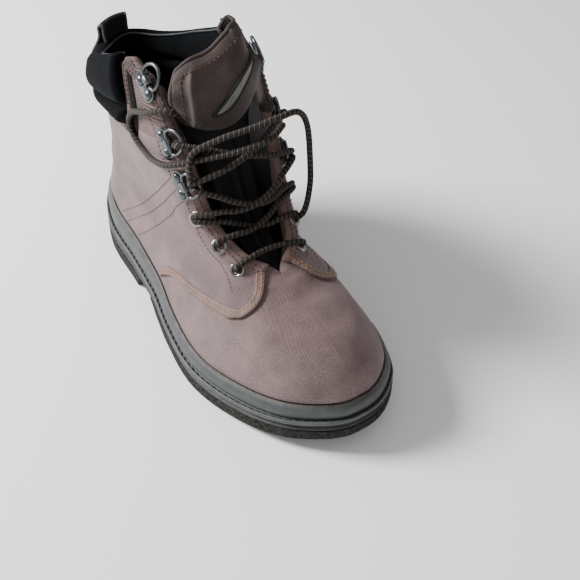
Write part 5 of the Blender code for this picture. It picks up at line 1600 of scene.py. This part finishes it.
def makeRingPlate(word, name, seat):
    f = fastening
    hold = f["ringWire"] / 2 + f["ringGap"]
    clearSelection()
    bpy.ops.mesh.primitive_cube_add(size=1.0)
    plate = bpy.context.active_object
    plate.name = f"ring_plate_{word}_{name}_pressed"
    inEditMode(bpy.ops.transform.resize, value=(f["plateWide"], f["plateLong"], f["plateThick"]))
    # the four upright edges are rounded first
    bpy.ops.object.mode_set(mode="EDIT")
    bpy.ops.mesh.select_mode(type="EDGE")
    bpy.ops.mesh.select_all(action="DESELECT")
    bpy.ops.object.mode_set(mode="OBJECT")
    corners = plate.data.vertices
    for e in plate.data.edges:
        e.select = abs(corners[e.vertices[0]].co.z - corners[e.vertices[1]].co.z) > 1e-5
    bpy.ops.object.mode_set(mode="EDIT")
    bpy.ops.mesh.bevel(offset=f["plateWide"] * 0.40, segments=5)
    bpy.ops.object.mode_set(mode="OBJECT")
    applyModifier(plate, "BEVEL", width=0.00028, segments=2, limit_method="ANGLE")
    parts = []
    for end in (-1, 1):
        clearSelection()
        bpy.ops.mesh.primitive_uv_sphere_add(segments=24, ring_count=12,
                                             radius=f["rivetWide"] / 2)
        inEditMode(bpy.ops.transform.resize, center_override=(0, 0, 0),
                   value=(1, 1, 2 * f["rivetRise"] / f["rivetWide"] * 1.1))
        inEditMode(bpy.ops.transform.translate,
                   value=(-0.0006, end * f["rivetSpace"] / 2, f["plateThick"] * 0.42))
        parts.append(bpy.context.active_object)
    clearSelection()
    bpy.ops.mesh.primitive_cylinder_add(vertices=24, radius=hold + f["clipSkin"],
                                        depth=f["clipLong"], end_fill_type="NOTHING",
                                        rotation=(math.pi / 2, 0, 0))
    clip = bpy.context.active_object
    bpy.ops.object.transform_apply(location=True, rotation=True, scale=True)
    applyModifier(clip, "SOLIDIFY", thickness=f["clipSkin"], offset=-1.0)
    applyModifier(clip, "BEVEL", width=0.0002, segments=2, limit_method="ANGLE")
    clip.data.transform(Matrix.Translation((f["plateWide"] / 2 + hold * 0.5, 0.0,
                                            f["clipSkin"] + hold - f["plateThick"] / 2)))
    joinInto(plate, parts + [clip])
    bpy.ops.object.shade_smooth_by_angle(angle=math.radians(40))
    setInSeat(plate, nickelSteel, seatMatrix(seat, 0.0, 0.0, plateRise + f["plateThick"] / 2),
              f"ring_plate_{word}_{name}")
    # D-ring: a straight side through the clip, two corners and a bow
    corner, half = f["ringCorner"], f["ringLong"] / 2
    bow = [math.pi * i / 9 for i in range(1, 9)]
    path = [(0.0, -half + corner * 1.4), (0.0, 0.0), (0.0, half - corner * 1.4),
            (corner * 0.30, half - corner * 0.40), (corner * 1.3, half)]
    path += [(corner * 1.3 + (f["ringReach"] - corner * 1.3) * math.sin(turn),
              half * math.cos(turn)) for turn in bow]
    path += [(corner * 1.3, -half), (corner * 0.30, -half + corner * 0.40)]
    points = [seat["pivot"] + seat["reach"] * x + seat["up"] * y for x, y in path]
    tubePiece(f"ring_{word}_{name}_wire", smoothRoute(points, 0.0006, closed=True),
              f["ringWire"] / 2, nickelSteel, sides=14, closed=True, node=f"ring_{word}_{name}",
              slot="nickel_steel")


for (word, kind, name), seat in seats.items():
    if kind == "eyelet":
        makeEyelet(word, name, seat)
    else:
        makeRingPlate(word, name, seat)
print("eyelets and rings set")


studio = dict(paper="#fbfbfb", world=0.46, aim=Vector((0, 0, 0.06)),
              lamps=(("key", (-0.80, -1.00, 1.05), 0.5, 62.0),
                     ("fill", (1.2, -0.7, 0.9), 1.2, 2.5)))


def makeStudio():
    clearSelection()
    bpy.ops.mesh.primitive_plane_add(size=6.0)
    floor = bpy.context.active_object
    floor.name = "studio_floor"
    floor.data.materials.append(startMaterial("white paper sweep", studio["paper"], 0.9)[0])
    world = bpy.data.worlds.new("studio")
    world.use_nodes = True
    sky = world.node_tree.nodes["Background"].inputs
    sky["Color"].default_value = (1, 1, 1, 1)
    sky["Strength"].default_value = studio["world"]
    bpy.context.scene.world = world
    for name, place, size, power in studio["lamps"]:
        lamp = bpy.data.lights.new(name, "AREA")
        lamp.size, lamp.energy = size, power
        obj = bpy.data.objects.new(name, lamp)
        bpy.context.scene.collection.objects.link(obj)
        at = Vector(place)
        turn = (studio["aim"] - at).to_track_quat("-Z", "Y")
        obj.matrix_world = Matrix.Translation(at) @ turn.to_matrix().to_4x4()


makeStudio()
bpy.data.objects.remove(stitch)
